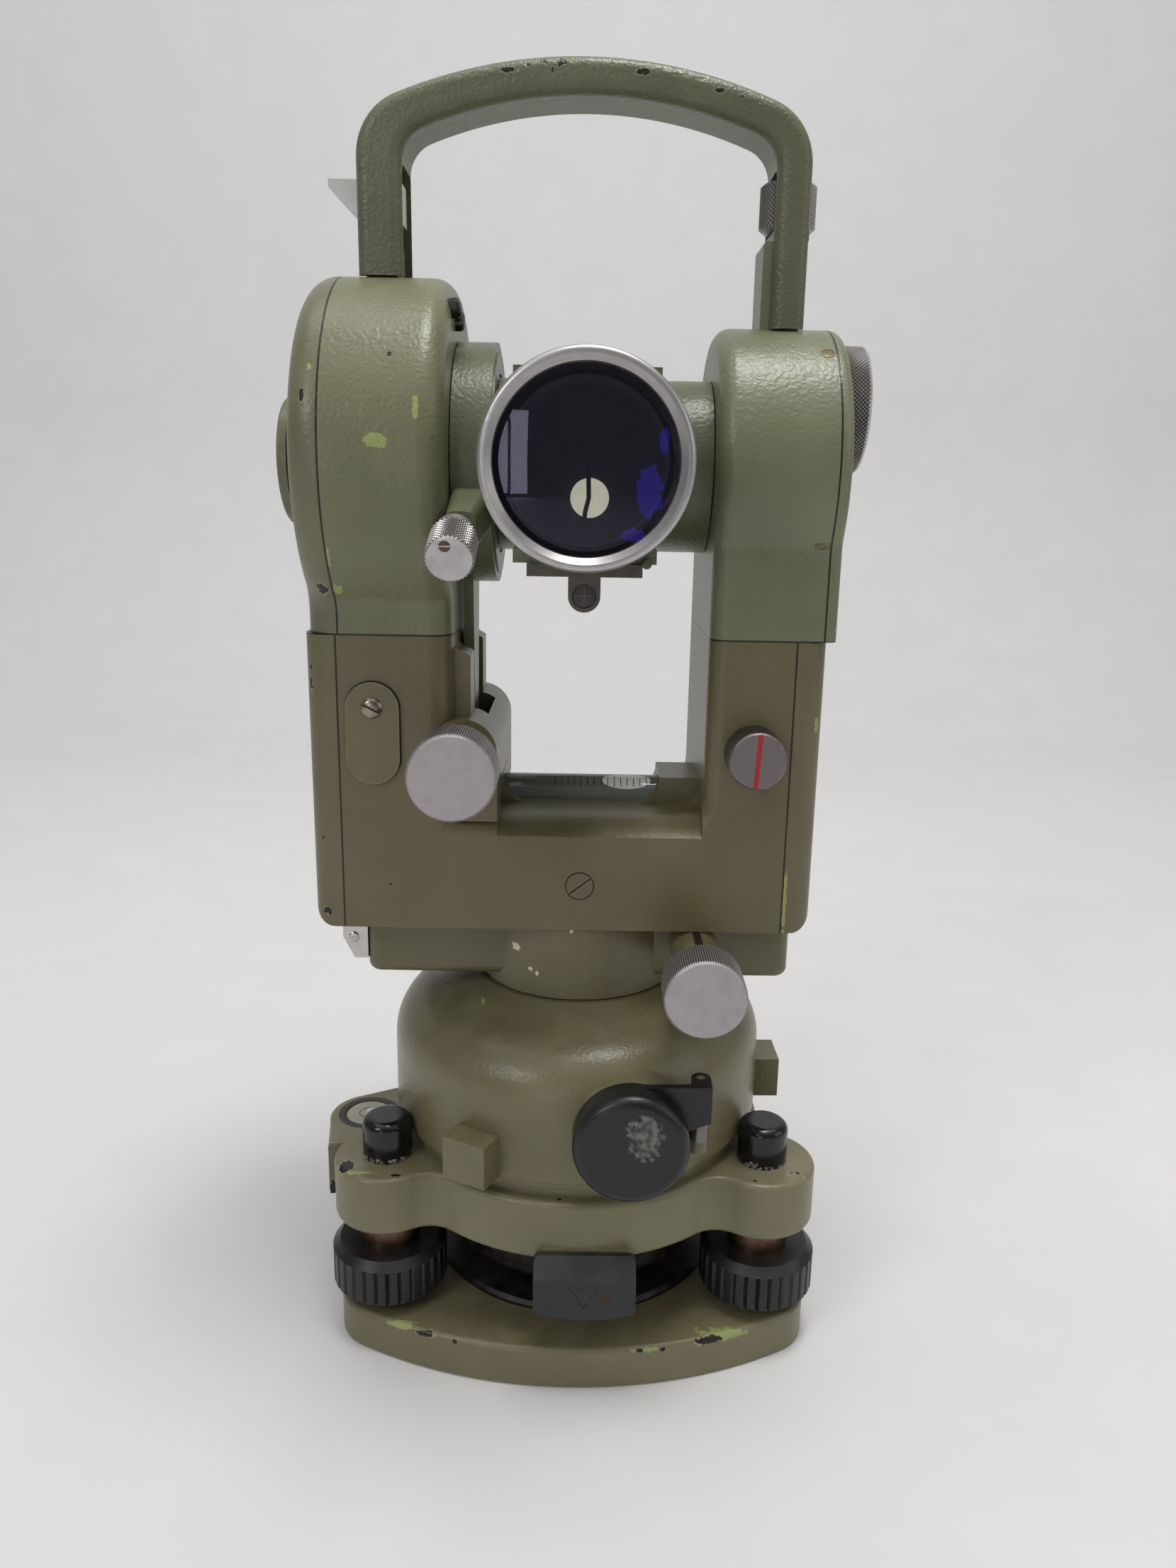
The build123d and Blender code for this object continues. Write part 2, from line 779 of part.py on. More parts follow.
# Seat of the circle drive: a black ring on the housing with the hinge bracket of its cover
with BuildPart() as drive_seat:
    with BuildSketch(facing(-seat_root * housing_r)):
        with Locations((cover_x, cover_z)):
            Circle(cover_r)
    extrude(amount=cover_back - seat_root * housing_r)
    with BuildSketch(Plane.XY.offset(hinge_low)):
        with Locations((hinge_x, -hinge_y)):
            Circle(hinge_r)
        with Locations((hinge_x + hinge_r - hinge_bracket_width / 2, -hinge_y + hinge_bracket_depth / 2)):
            Rectangle(hinge_bracket_width, hinge_bracket_depth)
    extrude(amount=hinge_split - hinge_low)
    with BuildSketch(Plane.XY.offset(tribrach_top)):
        Circle(housing_r)
    extrude(amount=shoulder_z - tribrach_top, mode=Mode.SUBTRACT)
    with BuildSketch(Plane.XZ):
        with BuildLine():
            Polyline((0, shoulder_z), (housing_r, shoulder_z))
            ThreePointArc((housing_r, shoulder_z), shoulder_mid, (shoulder_x, shoulder_top))
            Polyline((shoulder_x, shoulder_top), (neck_r, neck_z), (0, neck_z), (0, shoulder_z))
        make_face()
    revolve(axis=Axis.Z, mode=Mode.SUBTRACT)
    with BuildSketch(facing(0)):
        with Locations((cover_x, cover_z)):
            Circle(circle_shaft_r + run_fit)
    extrude(amount=cover_back, mode=Mode.SUBTRACT)
    with BuildSketch(Plane.XY.offset(hinge_low)):
        with Locations((hinge_x, -hinge_y)):
            Circle(hinge_pin_r)
    extrude(amount=hinge_high - hinge_low)
drive_seat.part.label = "circle_drive_seat"
export_step(drive_seat.part, "parts/circle_drive_seat.step")

# Hinged cap over the circle drive knob
with BuildPart() as drive_cover:
    with BuildSketch(facing(-cover_back - face_gap)):
        with Locations((cover_x, cover_z)):
            Circle(cover_r)
    extrude(amount=cover_front - cover_back - face_gap)
    with BuildSketch(facing(-cover_back - face_gap)):
        with BuildLine():
            Polyline(
                (cover_x, cover_z + cover_r - ear_lap),
                (hinge_x + hinge_r, hinge_high),
                (hinge_x + hinge_r, hinge_split + face_gap),
                (cover_x + cover_r - ear_inset, hinge_split + face_gap - ear_drop),
                (cover_x, cover_z),
                close=True,
            )
        make_face()
    extrude(amount=ear_thick)
    fillet(edges().group_by(Axis.Y)[0], cover_edge_r)
    with BuildSketch(Plane.XY.offset(hinge_split + face_gap)):
        with Locations((hinge_x, -hinge_y)):
            Circle(hinge_r)
        with Locations((hinge_x, -hinge_y - hinge_leaf_depth / 2)):
            Rectangle(2 * hinge_r, hinge_leaf_depth)
    extrude(amount=hinge_high - hinge_split - face_gap)
    with BuildSketch(facing(-cover_back)):
        with Locations((cover_x, cover_z)):
            Circle(cover_r - cover_wall)
    extrude(amount=cover_front - cover_back - cover_wall, mode=Mode.SUBTRACT)
    with BuildSketch(Plane.XY.offset(hinge_split)):
        with Locations((hinge_x, -hinge_y)):
            Circle(hinge_pin_r + run_fit)
    extrude(amount=hinge_high - hinge_split, mode=Mode.SUBTRACT)
drive_cover.part.label = "circle_drive_cover"
export_step(drive_cover.part, "parts/circle_drive_cover.step")

# Circle drive: knob, shaft and the pinion below the carrier
with BuildPart() as circle_knob:
    with BuildSketch(facing(-cover_back - face_gap)):
        with Locations((cover_x, cover_z)):
            Circle(circle_knob_r)
    extrude(amount=circle_knob_len)
    chamfer(edges().group_by(Axis.Y)[0], knob_bevel)
    with BuildSketch(facing(-pinion_y)):
        with Locations((cover_x, cover_z)):
            Circle(circle_shaft_r)
    extrude(amount=cover_back + face_gap - pinion_y)
    with BuildSketch(facing(-pinion_y + pinion_len / 2)):
        with Locations((cover_x, cover_z)):
            Circle(pinion_r)
    extrude(amount=pinion_len)
circle_knob.part.label = "circle_drive_knob"
export_step(circle_knob.part, "parts/circle_drive_knob.step")

# Drive housing below the alidade: collar, cross bar, and the sockets of drive and clamp screw
clamp_ring_bottom = collar_bottom + clamp_ring_low
clamp_bay_bottom = bar_bottom + clamp_bay_floor
with BuildPart() as drive_housing:
    with BuildSketch(Plane.XY.offset(bar_bottom)):
        RectangleRounded(2 * bar_half, 2 * bar_front, bar_corner_r)
    extrude(amount=alidade_bottom - bar_bottom)
    fillet(edges().group_by(Axis.Z)[0], bar_edge_r)
    with BuildSketch(Plane.XY.offset(collar_bottom)):
        Circle(collar_r)
    extrude(amount=alidade_bottom - collar_bottom)
    with BuildSketch(facing(0)):
        with Locations((drive_x, drive_z)):
            Circle(drive_socket_r)
    extrude(amount=drive_socket_front)
    with BuildSketch(facing(bar_front + clamp_socket_len)):
        with Locations((clamp_x, clamp_z)):
            Circle(clamp_socket_r)
    extrude(amount=bar_front)
    with BuildSketch(Plane.XY.offset(collar_bottom)):
        Circle(collar_cave_r)
    extrude(amount=collar_cave_h, mode=Mode.SUBTRACT)
    with BuildSketch(Plane.XY.offset(cave_top)):
        Circle(axis_r)
    extrude(amount=alidade_bottom - cave_top, mode=Mode.SUBTRACT)
    with BuildSketch(Plane.XY.offset(clamp_bay_bottom)):
        Rectangle(2 * (clamp_arm_reach + clamp_bay_margin), 2 * clamp_bay_half)
    extrude(amount=clamp_post_top + clamp_bay_margin - clamp_bay_bottom, mode=Mode.SUBTRACT)
    with BuildSketch(facing(-clamp_arm_half)):
        with Locations((drive_x, drive_z)):
            Circle(drive_screw_r + run_fit)
    extrude(amount=drive_socket_front, mode=Mode.SUBTRACT)
    with BuildSketch(facing(bar_front - clamp_bay_floor)):
        with Locations((drive_x, drive_z)):
            Circle(plunger_r)
    extrude(amount=bar_front - clamp_bay_floor, mode=Mode.SUBTRACT)
    with BuildSketch(facing(bar_front + clamp_socket_len)):
        with Locations((clamp_x, clamp_z)):
            Circle(clamp_screw_r + run_fit)
    extrude(amount=bar_front, mode=Mode.SUBTRACT)
drive_housing.part.label = "drive_housing"
export_step(drive_housing.part, "parts/drive_housing.step")

# Horizontal clamp ring on the neck of the bush, with an arm to the drive and one to the clamp
with BuildPart() as clamp_ring:
    with BuildSketch(Plane.XY.offset(clamp_ring_bottom)):
        Circle(collar_cave_r - face_gap)
        Circle(bush_r + run_fit, mode=Mode.SUBTRACT)
    extrude(amount=bush_top - clamp_ring_bottom)
    with BuildSketch(Plane.XY.offset(clamp_bay_bottom + face_gap)):
        Rectangle(2 * clamp_arm_reach, 2 * clamp_arm_half)
        Circle(bush_r + run_fit, mode=Mode.SUBTRACT)
    extrude(amount=bush_top - clamp_bay_bottom - face_gap)
    with BuildSketch(Plane.XY.offset(clamp_bay_bottom + face_gap)):
        with Locations(
            (clamp_arm_reach - clamp_post_width / 2, 0), (clamp_post_width / 2 - clamp_arm_reach, 0)
        ):
            Rectangle(clamp_post_width, 2 * clamp_arm_half)
    extrude(amount=clamp_post_top - clamp_bay_bottom - face_gap)
clamp_ring.part.label = "horizontal_clamp_ring"
export_step(clamp_ring.part, "parts/horizontal_clamp_ring.step")

# Vertical axis: the spindle in its bush and the bearing race under its flange
with BuildPart() as axis_spindle:
    with BuildSketch(Plane.XY.offset(flange_top + face_gap)):
        Circle(axis_r)
    extrude(amount=alidade_bottom + axis_reach - flange_top - face_gap)
    with BuildSketch(Plane.XY.offset(cave_top - axis_flange_thick)):
        Circle(axis_flange_r)
    extrude(amount=axis_flange_thick)
axis_spindle.part.label = "axis_spindle"
export_step(axis_spindle.part, "parts/axis_spindle.step")

with BuildPart() as bearing_race:
    with BuildSketch(Plane.XY.offset(bush_top + run_fit)):
        Circle(axis_r + race_wall)
        Circle(axis_r, mode=Mode.SUBTRACT)
    extrude(amount=race_thick)
bearing_race.part.label = "bearing_race"
export_step(bearing_race.part, "parts/bearing_race.step")

# Horizontal drive: knurled knob, its screw and the spring plunger opposite
with BuildPart() as drive_knob:
    with BuildSketch(facing(-drive_socket_front - face_gap)):
        with Locations((drive_x, drive_z)):
            Circle(drive_knob_r)
    extrude(amount=drive_knob_front - drive_socket_front - face_gap)
    chamfer(edges().group_by(Axis.Y)[0], knob_bevel)
    with BuildSketch(facing(-clamp_arm_half - skin_gap)):
        with Locations((drive_x, drive_z)):
            Circle(drive_screw_r)
    extrude(amount=drive_socket_front - clamp_arm_half)
drive_knob.part.label = "horizontal_drive_knob"
export_step(drive_knob.part, "parts/horizontal_drive_knob.step")

with BuildPart() as drive_plunger:
    with BuildSketch(facing(bar_front - clamp_bay_floor)):
        with Locations((drive_x, drive_z)):
            Circle(plunger_r)
    extrude(amount=bar_front - clamp_bay_floor - clamp_arm_half)
drive_plunger.part.label = "horizontal_plunger"
export_step(drive_plunger.part, "parts/horizontal_plunger.step")

# Horizontal clamp on the far side of the bar
with BuildPart() as clamp_knob:
    with BuildSketch(facing(bar_front + clamp_socket_len + face_gap + clamp_knob_len)):
        with Locations((clamp_x, clamp_z)):
            Circle(clamp_knob_r)
    extrude(amount=clamp_knob_len)
    chamfer(edges().group_by(Axis.Y)[-1], knob_bevel)
    with BuildSketch(facing(bar_front + clamp_socket_len + face_gap)):
        with Locations((clamp_x, clamp_z)):
            Circle(clamp_screw_r)
    extrude(amount=bar_front + clamp_socket_len + face_gap - clamp_arm_half - skin_gap)
clamp_knob.part.label = "horizontal_clamp_knob"
export_step(clamp_knob.part, "parts/horizontal_clamp_knob.step")

# Bright clip on the left end of the bar, its lower corner cut away
with BuildPart() as side_clip:
    with BuildSketch(facing(bar_front - clip_inset)):
        with BuildLine():
            Polyline(
                (-bar_half, clip_low),
                (-bar_half, alidade_bottom),
                (-bar_half - clip_width, alidade_bottom),
                (-bar_half - clip_width, clip_low + clip_cut),
                (-bar_half - clip_width + clip_cut / 2, clip_low),
                close=True,
            )
        make_face()
    extrude(amount=2 * (bar_front - clip_inset))
side_clip.part.label = "side_clip"
export_step(side_clip.part, "parts/side_clip.step")

# Alidade frame: the U that carries both standards, with the pocket of the tangent screw
barrel_right = tangent_x + barrel_r
with BuildPart() as alidade_frame:
    with BuildSketch(facing(alidade_half)):
        with BuildLine():
            Polyline(
                (frame_left, alidade_bottom),
                (frame_right, alidade_bottom),
                (frame_right, alidade_top),
                (right_wall, alidade_top),
                (right_wall, floor_z),
                (left_wall, floor_z),
                (left_wall, alidade_top),
                (frame_left, alidade_top),
                close=True,
            )
        make_face()
        fillet(vertices().sort_by_distance((right_wall, floor_z))[0], floor_corner_r)
    extrude(amount=2 * alidade_half)
    for wall, edge_r in ((left_wall, left_inner_edge_r), (right_wall, right_inner_edge_r)):
        wall_edges = [e for e in edges().filter_by(Axis.Z) if abs(e.center().X - wall) < 0.01]
        fillet(wall_edges, edge_r)
    with BuildSketch(facing(alidade_half)):
        with Locations(((left_wall + barrel_right) / 2, (floor_z + tangent_z) / 2)):
            Rectangle(barrel_right - left_wall, tangent_z - floor_z)
        with Locations((tangent_x, tangent_z)):
            Circle(barrel_r)
    extrude(amount=2 * alidade_half)
    for side in (-1, 1):
        with BuildSketch(facing(side * (cheek_outer + cheek_inner) / 2)):
            with BuildLine():
                Polyline(
                    (left_wall, tangent_z),
                    (cheek_right, tangent_z),
                    (cheek_right, cheek_top - cheek_slant),
                    (left_wall, cheek_top),
                    close=True,
                )
            make_face()
        extrude(amount=(cheek_outer - cheek_inner) / 2, both=True)
    with BuildSketch(facing(ridge_half)):
        with Locations(((barrel_right + right_wall) / 2, (floor_z + ridge_z) / 2)):
            Rectangle(right_wall - barrel_right, ridge_z - floor_z)
    extrude(amount=2 * ridge_half)
    with BuildSketch(facing(ridge_half)):
        with Locations((0, (floor_z + ridge_z) / 2)):
            Rectangle(2 * bay_half, ridge_z - floor_z)
        fillet(vertices().group_by(Axis.Y)[0], bay_corner_r)
    extrude(amount=2 * ridge_half, mode=Mode.SUBTRACT)
    for side in (-1, 1):
        with BuildSketch(Plane.YZ.offset(barrel_right)):
            with BuildLine():
                ThreePointArc(
                    (side * alidade_half, floor_z - floor_front_drop),
                    (side * (alidade_half - floor_lip), floor_z - floor_lip / 2),
                    (side * (alidade_half - floor_slope_run), floor_z),
                )
                Polyline(
                    (side * (alidade_half - floor_slope_run), floor_z),
                    (side * (alidade_half - floor_slope_run), floor_z + floor_corner_r),
                    (side * alidade_half, floor_z + floor_corner_r),
                    (side * alidade_half, floor_z - floor_front_drop),
                )
            make_face()
        extrude(amount=right_wall - barrel_right, mode=Mode.SUBTRACT)
    with BuildSketch(Plane.YZ.offset(-vial_half - vial_cap_len)):
        with Locations((0, vial_z)):
            Circle(vial_r)
    extrude(amount=2 * (vial_half + vial_cap_len), mode=Mode.SUBTRACT)
    with BuildSketch(Plane.XY.offset(slot_floor)):
        with Locations(((left_wall + slot_right) / 2, 0)):
            Rectangle(slot_right - left_wall, 2 * slot_half)
    extrude(amount=tangent_z + barrel_r - slot_floor, mode=Mode.SUBTRACT)
    with BuildSketch(facing(alidade_half)):
        with Locations((tangent_x, tangent_z)):
            Circle(plunger_r)
    extrude(amount=alidade_half, mode=Mode.SUBTRACT)
    with BuildSketch(facing(-alidade_half)):
        with Locations((tangent_x, tangent_z)):
            Circle(tangent_socket_r)
    extrude(amount=tangent_socket_front - alidade_half)
    with BuildSketch(facing(0)):
        with Locations((tangent_x, tangent_z)):
            Circle(tangent_screw_r + run_fit)
    extrude(amount=tangent_socket_front, mode=Mode.SUBTRACT)
    for inner, outer in ((left_wall - side_pocket_margin, frame_left), (right_wall + side_pocket_margin, frame_right)):
        with BuildSketch(Plane.YZ.offset(inner)):
            with Locations((0, (alidade_bottom + alidade_top) / 2)):
                RectangleRounded(2 * side_pocket_half, side_pocket_height, side_pocket_r)
        extrude(amount=outer - inner, mode=Mode.SUBTRACT)
    with BuildSketch(facing(-side_pocket_half)):
        with Locations((selector_x, selector_z)):
            Circle(selector_shaft_r + run_fit)
    extrude(amount=alidade_half - side_pocket_half, mode=Mode.SUBTRACT)
    with BuildSketch(Plane.XY.offset(alidade_bottom)):
        Circle(axis_r)
    extrude(amount=axis_reach, mode=Mode.SUBTRACT)
alidade_frame.part.label = "alidade_frame"
export_step(alidade_frame.part, "parts/alidade_frame.step")

# Side covers of the frame, their outer edges rounded
for name, inner, outer, pick in (
    ("left", frame_left, side_cover_left, 0),
    ("right", frame_right, side_cover_right, -1),
):
    with BuildPart() as side_cover:
        with BuildSketch(Plane.YZ.offset(inner)):
            with Locations((0, (alidade_bottom + alidade_top) / 2)):
                Rectangle(2 * alidade_half, alidade_top - alidade_bottom)
        extrude(amount=outer - inner)
        outer_edges = edges().group_by(Axis.X)[pick]
        fillet([e for e in outer_edges if e.center().Z < alidade_top - pick_gap], side_cover_edge_r)
    side_cover.part.label = f"{name}_side_cover"
    export_step(side_cover.part, f"parts/{name}_side_cover.step")

# Plate level lying in the bay of the ridge
with BuildPart() as plate_level:
    with BuildSketch(Plane.YZ.offset(-vial_half - vial_cap_len)):
        with Locations((0, vial_z)):
            Circle(vial_r)
    extrude(amount=2 * (vial_half + vial_cap_len))
plate_level.part.label = "plate_level_vial"
export_step(plate_level.part, "parts/plate_level_vial.step")

# Oval cover plate on the front of the frame
with BuildPart() as oval_cover:
    with BuildSketch(facing(-alidade_half)):
        with Locations((oval_x, oval_z)):
            SlotOverall(oval_height, oval_width, rotation=90)
    extrude(amount=oval_thick)
oval_cover.part.label = "oval_cover"
export_step(oval_cover.part, "parts/oval_cover.step")

# Selector knob that switches the reading between the circles
with BuildPart() as selector_knob:
    with BuildSketch(facing(-alidade_half - face_gap)):
        with Locations((selector_x, selector_z)):
            Circle(selector_r)
    extrude(amount=selector_front - alidade_half - face_gap)
    chamfer(edges().group_by(Axis.Y)[0], knob_bevel)
    with BuildSketch(facing(-side_pocket_half + selector_shaft_reach)):
        with Locations((selector_x, selector_z)):
            Circle(selector_shaft_r)
    extrude(amount=alidade_half + face_gap - side_pocket_half + selector_shaft_reach)
selector_knob.part.label = "selector_knob"
export_step(selector_knob.part, "parts/selector_knob.step")

# Upper housings: a hollow drum on an upright, each with a lug for the handle, and its cover
left_foot = tilt_z + math.sqrt(left_drum_r**2 - window_half**2) + foot_gap
right_foot = tilt_z + math.sqrt(right_drum_r**2 - window_half**2) + foot_gap
left_standard = {
    "name": "left",
    "drum_r": left_drum_r,
    "wall": left_wall,
    "outer": left_housing_outer,
    "cover": left_cover_outer,
    "inner_edge_r": left_inner_edge_r,
    "cover_edge_r": left_cover_edge_r,
    "cave_floor": circle_cave_floor,
    "cave_r": circle_cave_r,
    "lug": (left_lug_left, left_lug_right, left_lug_top),
    "inner_pick": -1,
    "bore": (0, tilt_z, mirror_spigot_r),
}
right_standard = {
    "name": "right",
    "drum_r": right_drum_r,
    "wall": right_wall,
    "outer": right_housing_outer,
    "cover": right_cover_outer,
    "inner_edge_r": right_inner_edge_r,
    "cover_edge_r": right_cover_edge_r,
    "cave_floor": right_cave_floor,
    "cave_r": right_cave_r,
    "lug": (right_lug_left, right_lug_right, right_lug_top),
    "inner_pick": 0,
    "bore": (0, drum_z, drum_shaft_r),
}
for standard in (left_standard, right_standard):
    name = standard["name"]
    drum_radius = standard["drum_r"]
    lug_left, lug_right, lug_top = standard["lug"]
    with BuildPart() as upper_housing:
        with BuildSketch(Plane.YZ.offset(standard["wall"])):
            with Locations((0, tilt_z)):
                Circle(drum_radius)
            with Locations((0, (alidade_top + tilt_z) / 2)):
                Rectangle(2 * alidade_half, tilt_z - alidade_top)
            waists = [v for v in vertices() if abs(math.hypot(v.X, v.Y - tilt_z) - drum_radius) < 0.01]
            fillet([v for v in waists if v.Y < tilt_z - pick_gap], waist_r)
            with Locations((0, alidade_top - trim_depth / 2)):
                Rectangle(2 * drum_radius, trim_depth, mode=Mode.SUBTRACT)
        extrude(amount=standard["outer"] - standard["wall"])
        inner_edges = edges().group_by(Axis.X)[standard["inner_pick"]]
        fillet([e for e in inner_edges if e.center().Z > alidade_top + pick_gap], standard["inner_edge_r"])
        with BuildSketch(Plane.XY.offset(tilt_z + drum_radius - lug_root)):
            with Locations(((lug_left + lug_right) / 2, 0)):
                Rectangle(lug_right - lug_left, 2 * lug_half)
        extrude(amount=lug_top - tilt_z - drum_radius + lug_root)
        fillet(edges().filter_by(Axis.Y).group_by(Axis.Z)[-1], lug_edge_r)
        with BuildSketch(Plane.YZ.offset(standard["cave_floor"])):
            with Locations((0, tilt_z)):
                Circle(standard["cave_r"])
        extrude(amount=standard["outer"] - standard["cave_floor"], mode=Mode.SUBTRACT)
        with BuildSketch(Plane.YZ.offset(standard["wall"])):
            with Locations((0, tilt_z)):
                Circle(axle_r + run_fit)
        extrude(amount=standard["outer"] - standard["wall"], mode=Mode.SUBTRACT)
        if name == "right":
            with BuildSketch(Plane.XY.offset(lug_top)):
                with Locations((handle_knob_x, 0)):
                    Circle(handle_stem_r + run_fit)
            extrude(amount=-handle_stem_depth - face_gap, mode=Mode.SUBTRACT)
    upper_housing.part.label = f"{name}_upper_housing"
    export_step(upper_housing.part, f"parts/{name}_upper_housing.step")

    bore_y, bore_z, bore_r = standard["bore"]
    with BuildPart() as upper_cover:
        with BuildSketch(Plane.YZ.offset(standard["outer"])):
            with Locations((0, tilt_z)):
                Circle(drum_radius)
            with Locations((0, (alidade_top + tilt_z) / 2)):
                Rectangle(2 * alidade_half, tilt_z - alidade_top)
            waists = [v for v in vertices() if abs(math.hypot(v.X, v.Y - tilt_z) - drum_radius) < 0.01]
            fillet([v for v in waists if v.Y < tilt_z - pick_gap], waist_r)
            with Locations((0, alidade_top - trim_depth / 2)):
                Rectangle(2 * drum_radius, trim_depth, mode=Mode.SUBTRACT)
        extrude(amount=standard["cover"] - standard["outer"])
        cover_edges = edges().group_by(Axis.X)[-1 - standard["inner_pick"]]
        fillet([e for e in cover_edges if e.center().Z > alidade_top + pick_gap], standard["cover_edge_r"])
        with BuildSketch(Plane.YZ.offset(standard["outer"])):
            with Locations((bore_y, bore_z)):
                Circle(bore_r + run_fit)
        extrude(amount=standard["cover"] - standard["outer"], mode=Mode.SUBTRACT)
    upper_cover.part.label = f"{name}_upper_cover"
    export_step(upper_cover.part, f"parts/{name}_upper_cover.step")

# Vertical drive: knob and screw in front, spring plunger behind, the arm of the clamp between
arm_slope = (arm_top_half - arm_bottom_half) / (tilt_z - clamp_outer_r - arm_bottom)
arm_half = arm_bottom_half + arm_slope * (tangent_z - arm_bottom)
with BuildPart() as tangent_knob:
    with BuildSketch(facing(-tangent_socket_front - face_gap)):
        with Locations((tangent_x, tangent_z)):
            Circle(tangent_knob_r)
    extrude(amount=tangent_knob_front - tangent_socket_front - face_gap)
    chamfer(edges().group_by(Axis.Y)[0], knob_bevel)
    with BuildSketch(facing(-arm_half - tangent_play)):
        with Locations((tangent_x, tangent_z)):
            Circle(tangent_screw_r)
    extrude(amount=tangent_socket_front - arm_half)
tangent_knob.part.label = "vertical_drive_knob"
export_step(tangent_knob.part, "parts/vertical_drive_knob.step")

with BuildPart() as tangent_plunger:
    with BuildSketch(facing(alidade_half)):
        with Locations((tangent_x, tangent_z)):
            Circle(plunger_r)
    extrude(amount=alidade_half - arm_half - tangent_play)
tangent_plunger.part.label = "vertical_plunger"
export_step(tangent_plunger.part, "parts/vertical_plunger.step")

# Vertical clamp: a ring round the trunnion with the arm below and the boss of its knob
clamp_sin = math.sin(math.radians(clamp_angle))
clamp_cos = math.cos(math.radians(clamp_angle))
boss_plane = Plane(origin=(0, 0, tilt_z), x_dir=(1, 0, 0), z_dir=(0, clamp_sin, -clamp_cos))
knob_plane = Plane(origin=(v_clamp_x, 0, tilt_z), x_dir=(1, 0, 0), z_dir=(0, -clamp_cos, -clamp_sin))
with BuildPart() as clamp_arm:
    with BuildSketch(boss_plane):
        with BuildLine():
            Polyline(
                (clamp_left, journal_r),
                (clamp_left, clamp_boss_reach),
                (clamp_boss_right, clamp_boss_reach),
                (clamp_right, clamp_outer_r),
                (clamp_right, journal_r),
                close=True,
            )
        make_face()
    extrude(amount=clamp_boss_half, both=True)
    boss_edges = [e for e in edges() if e.center().Z < tilt_z and abs(e.length - 2 * clamp_boss_half) > 0.1]
    long_edges = [e for e in boss_edges if e.length > clamp_boss_reach - clamp_outer_r - 0.5]
    fillet(long_edges, clamp_boss_edge_r)
    with BuildSketch(Plane.YZ.offset(clamp_left)):
        with Locations((0, tilt_z)):
            Circle(clamp_outer_r)
    extrude(amount=clamp_right - clamp_left)
    with BuildSketch(Plane.YZ.offset(clamp_right)):
        with Locations((0, tilt_z)):
            Circle(clamp_retainer_r)
            Circle(clamp_retainer_bore_r, mode=Mode.SUBTRACT)
    extrude(amount=clamp_retainer_thick)
    with BuildSketch(Plane.YZ.offset(arm_left)):
        with BuildLine():
            Polyline(
                (-arm_top_half, tilt_z - clamp_outer_r),
                (-arm_bottom_half, arm_bottom),
                (arm_bottom_half, arm_bottom),
                (arm_top_half, tilt_z - clamp_outer_r),
                (arm_top_half, tilt_z - journal_r),
                (-arm_top_half, tilt_z - journal_r),
                close=True,
            )
        make_face()
    extrude(amount=arm_right - arm_left)
    with BuildSketch(Plane.YZ.offset(clamp_left)):
        with Locations((0, tilt_z)):
            Circle(journal_r + run_fit)
    extrude(amount=clamp_right - clamp_left, mode=Mode.SUBTRACT)
    with BuildSketch(knob_plane.offset(v_clamp_shaft_start - face_gap)):
        Circle(v_clamp_shaft_r + run_fit)
    extrude(amount=clamp_boss_reach - v_clamp_shaft_start + face_gap, mode=Mode.SUBTRACT)
clamp_arm.part.label = "vertical_clamp_arm"
export_step(clamp_arm.part, "parts/vertical_clamp_arm.step")

with BuildPart() as v_clamp_knob:
    with BuildSketch(knob_plane.offset(v_clamp_collar_reach)):
        Circle(v_clamp_knob_r)
    extrude(amount=v_clamp_reach - v_clamp_collar_reach)
    chamfer(edges().group_by(Axis.Y)[0], knob_bevel)
    with BuildSketch(knob_plane.offset(clamp_boss_reach + face_gap)):
        Circle(v_clamp_collar_r)
    extrude(amount=v_clamp_collar_reach - clamp_boss_reach - face_gap)
    with BuildSketch(knob_plane.offset(v_clamp_shaft_start)):
        Circle(v_clamp_shaft_r)
    extrude(amount=clamp_boss_reach + face_gap - v_clamp_shaft_start)
v_clamp_knob.part.label = "vertical_clamp_knob"
export_step(v_clamp_knob.part, "parts/vertical_clamp_knob.step")

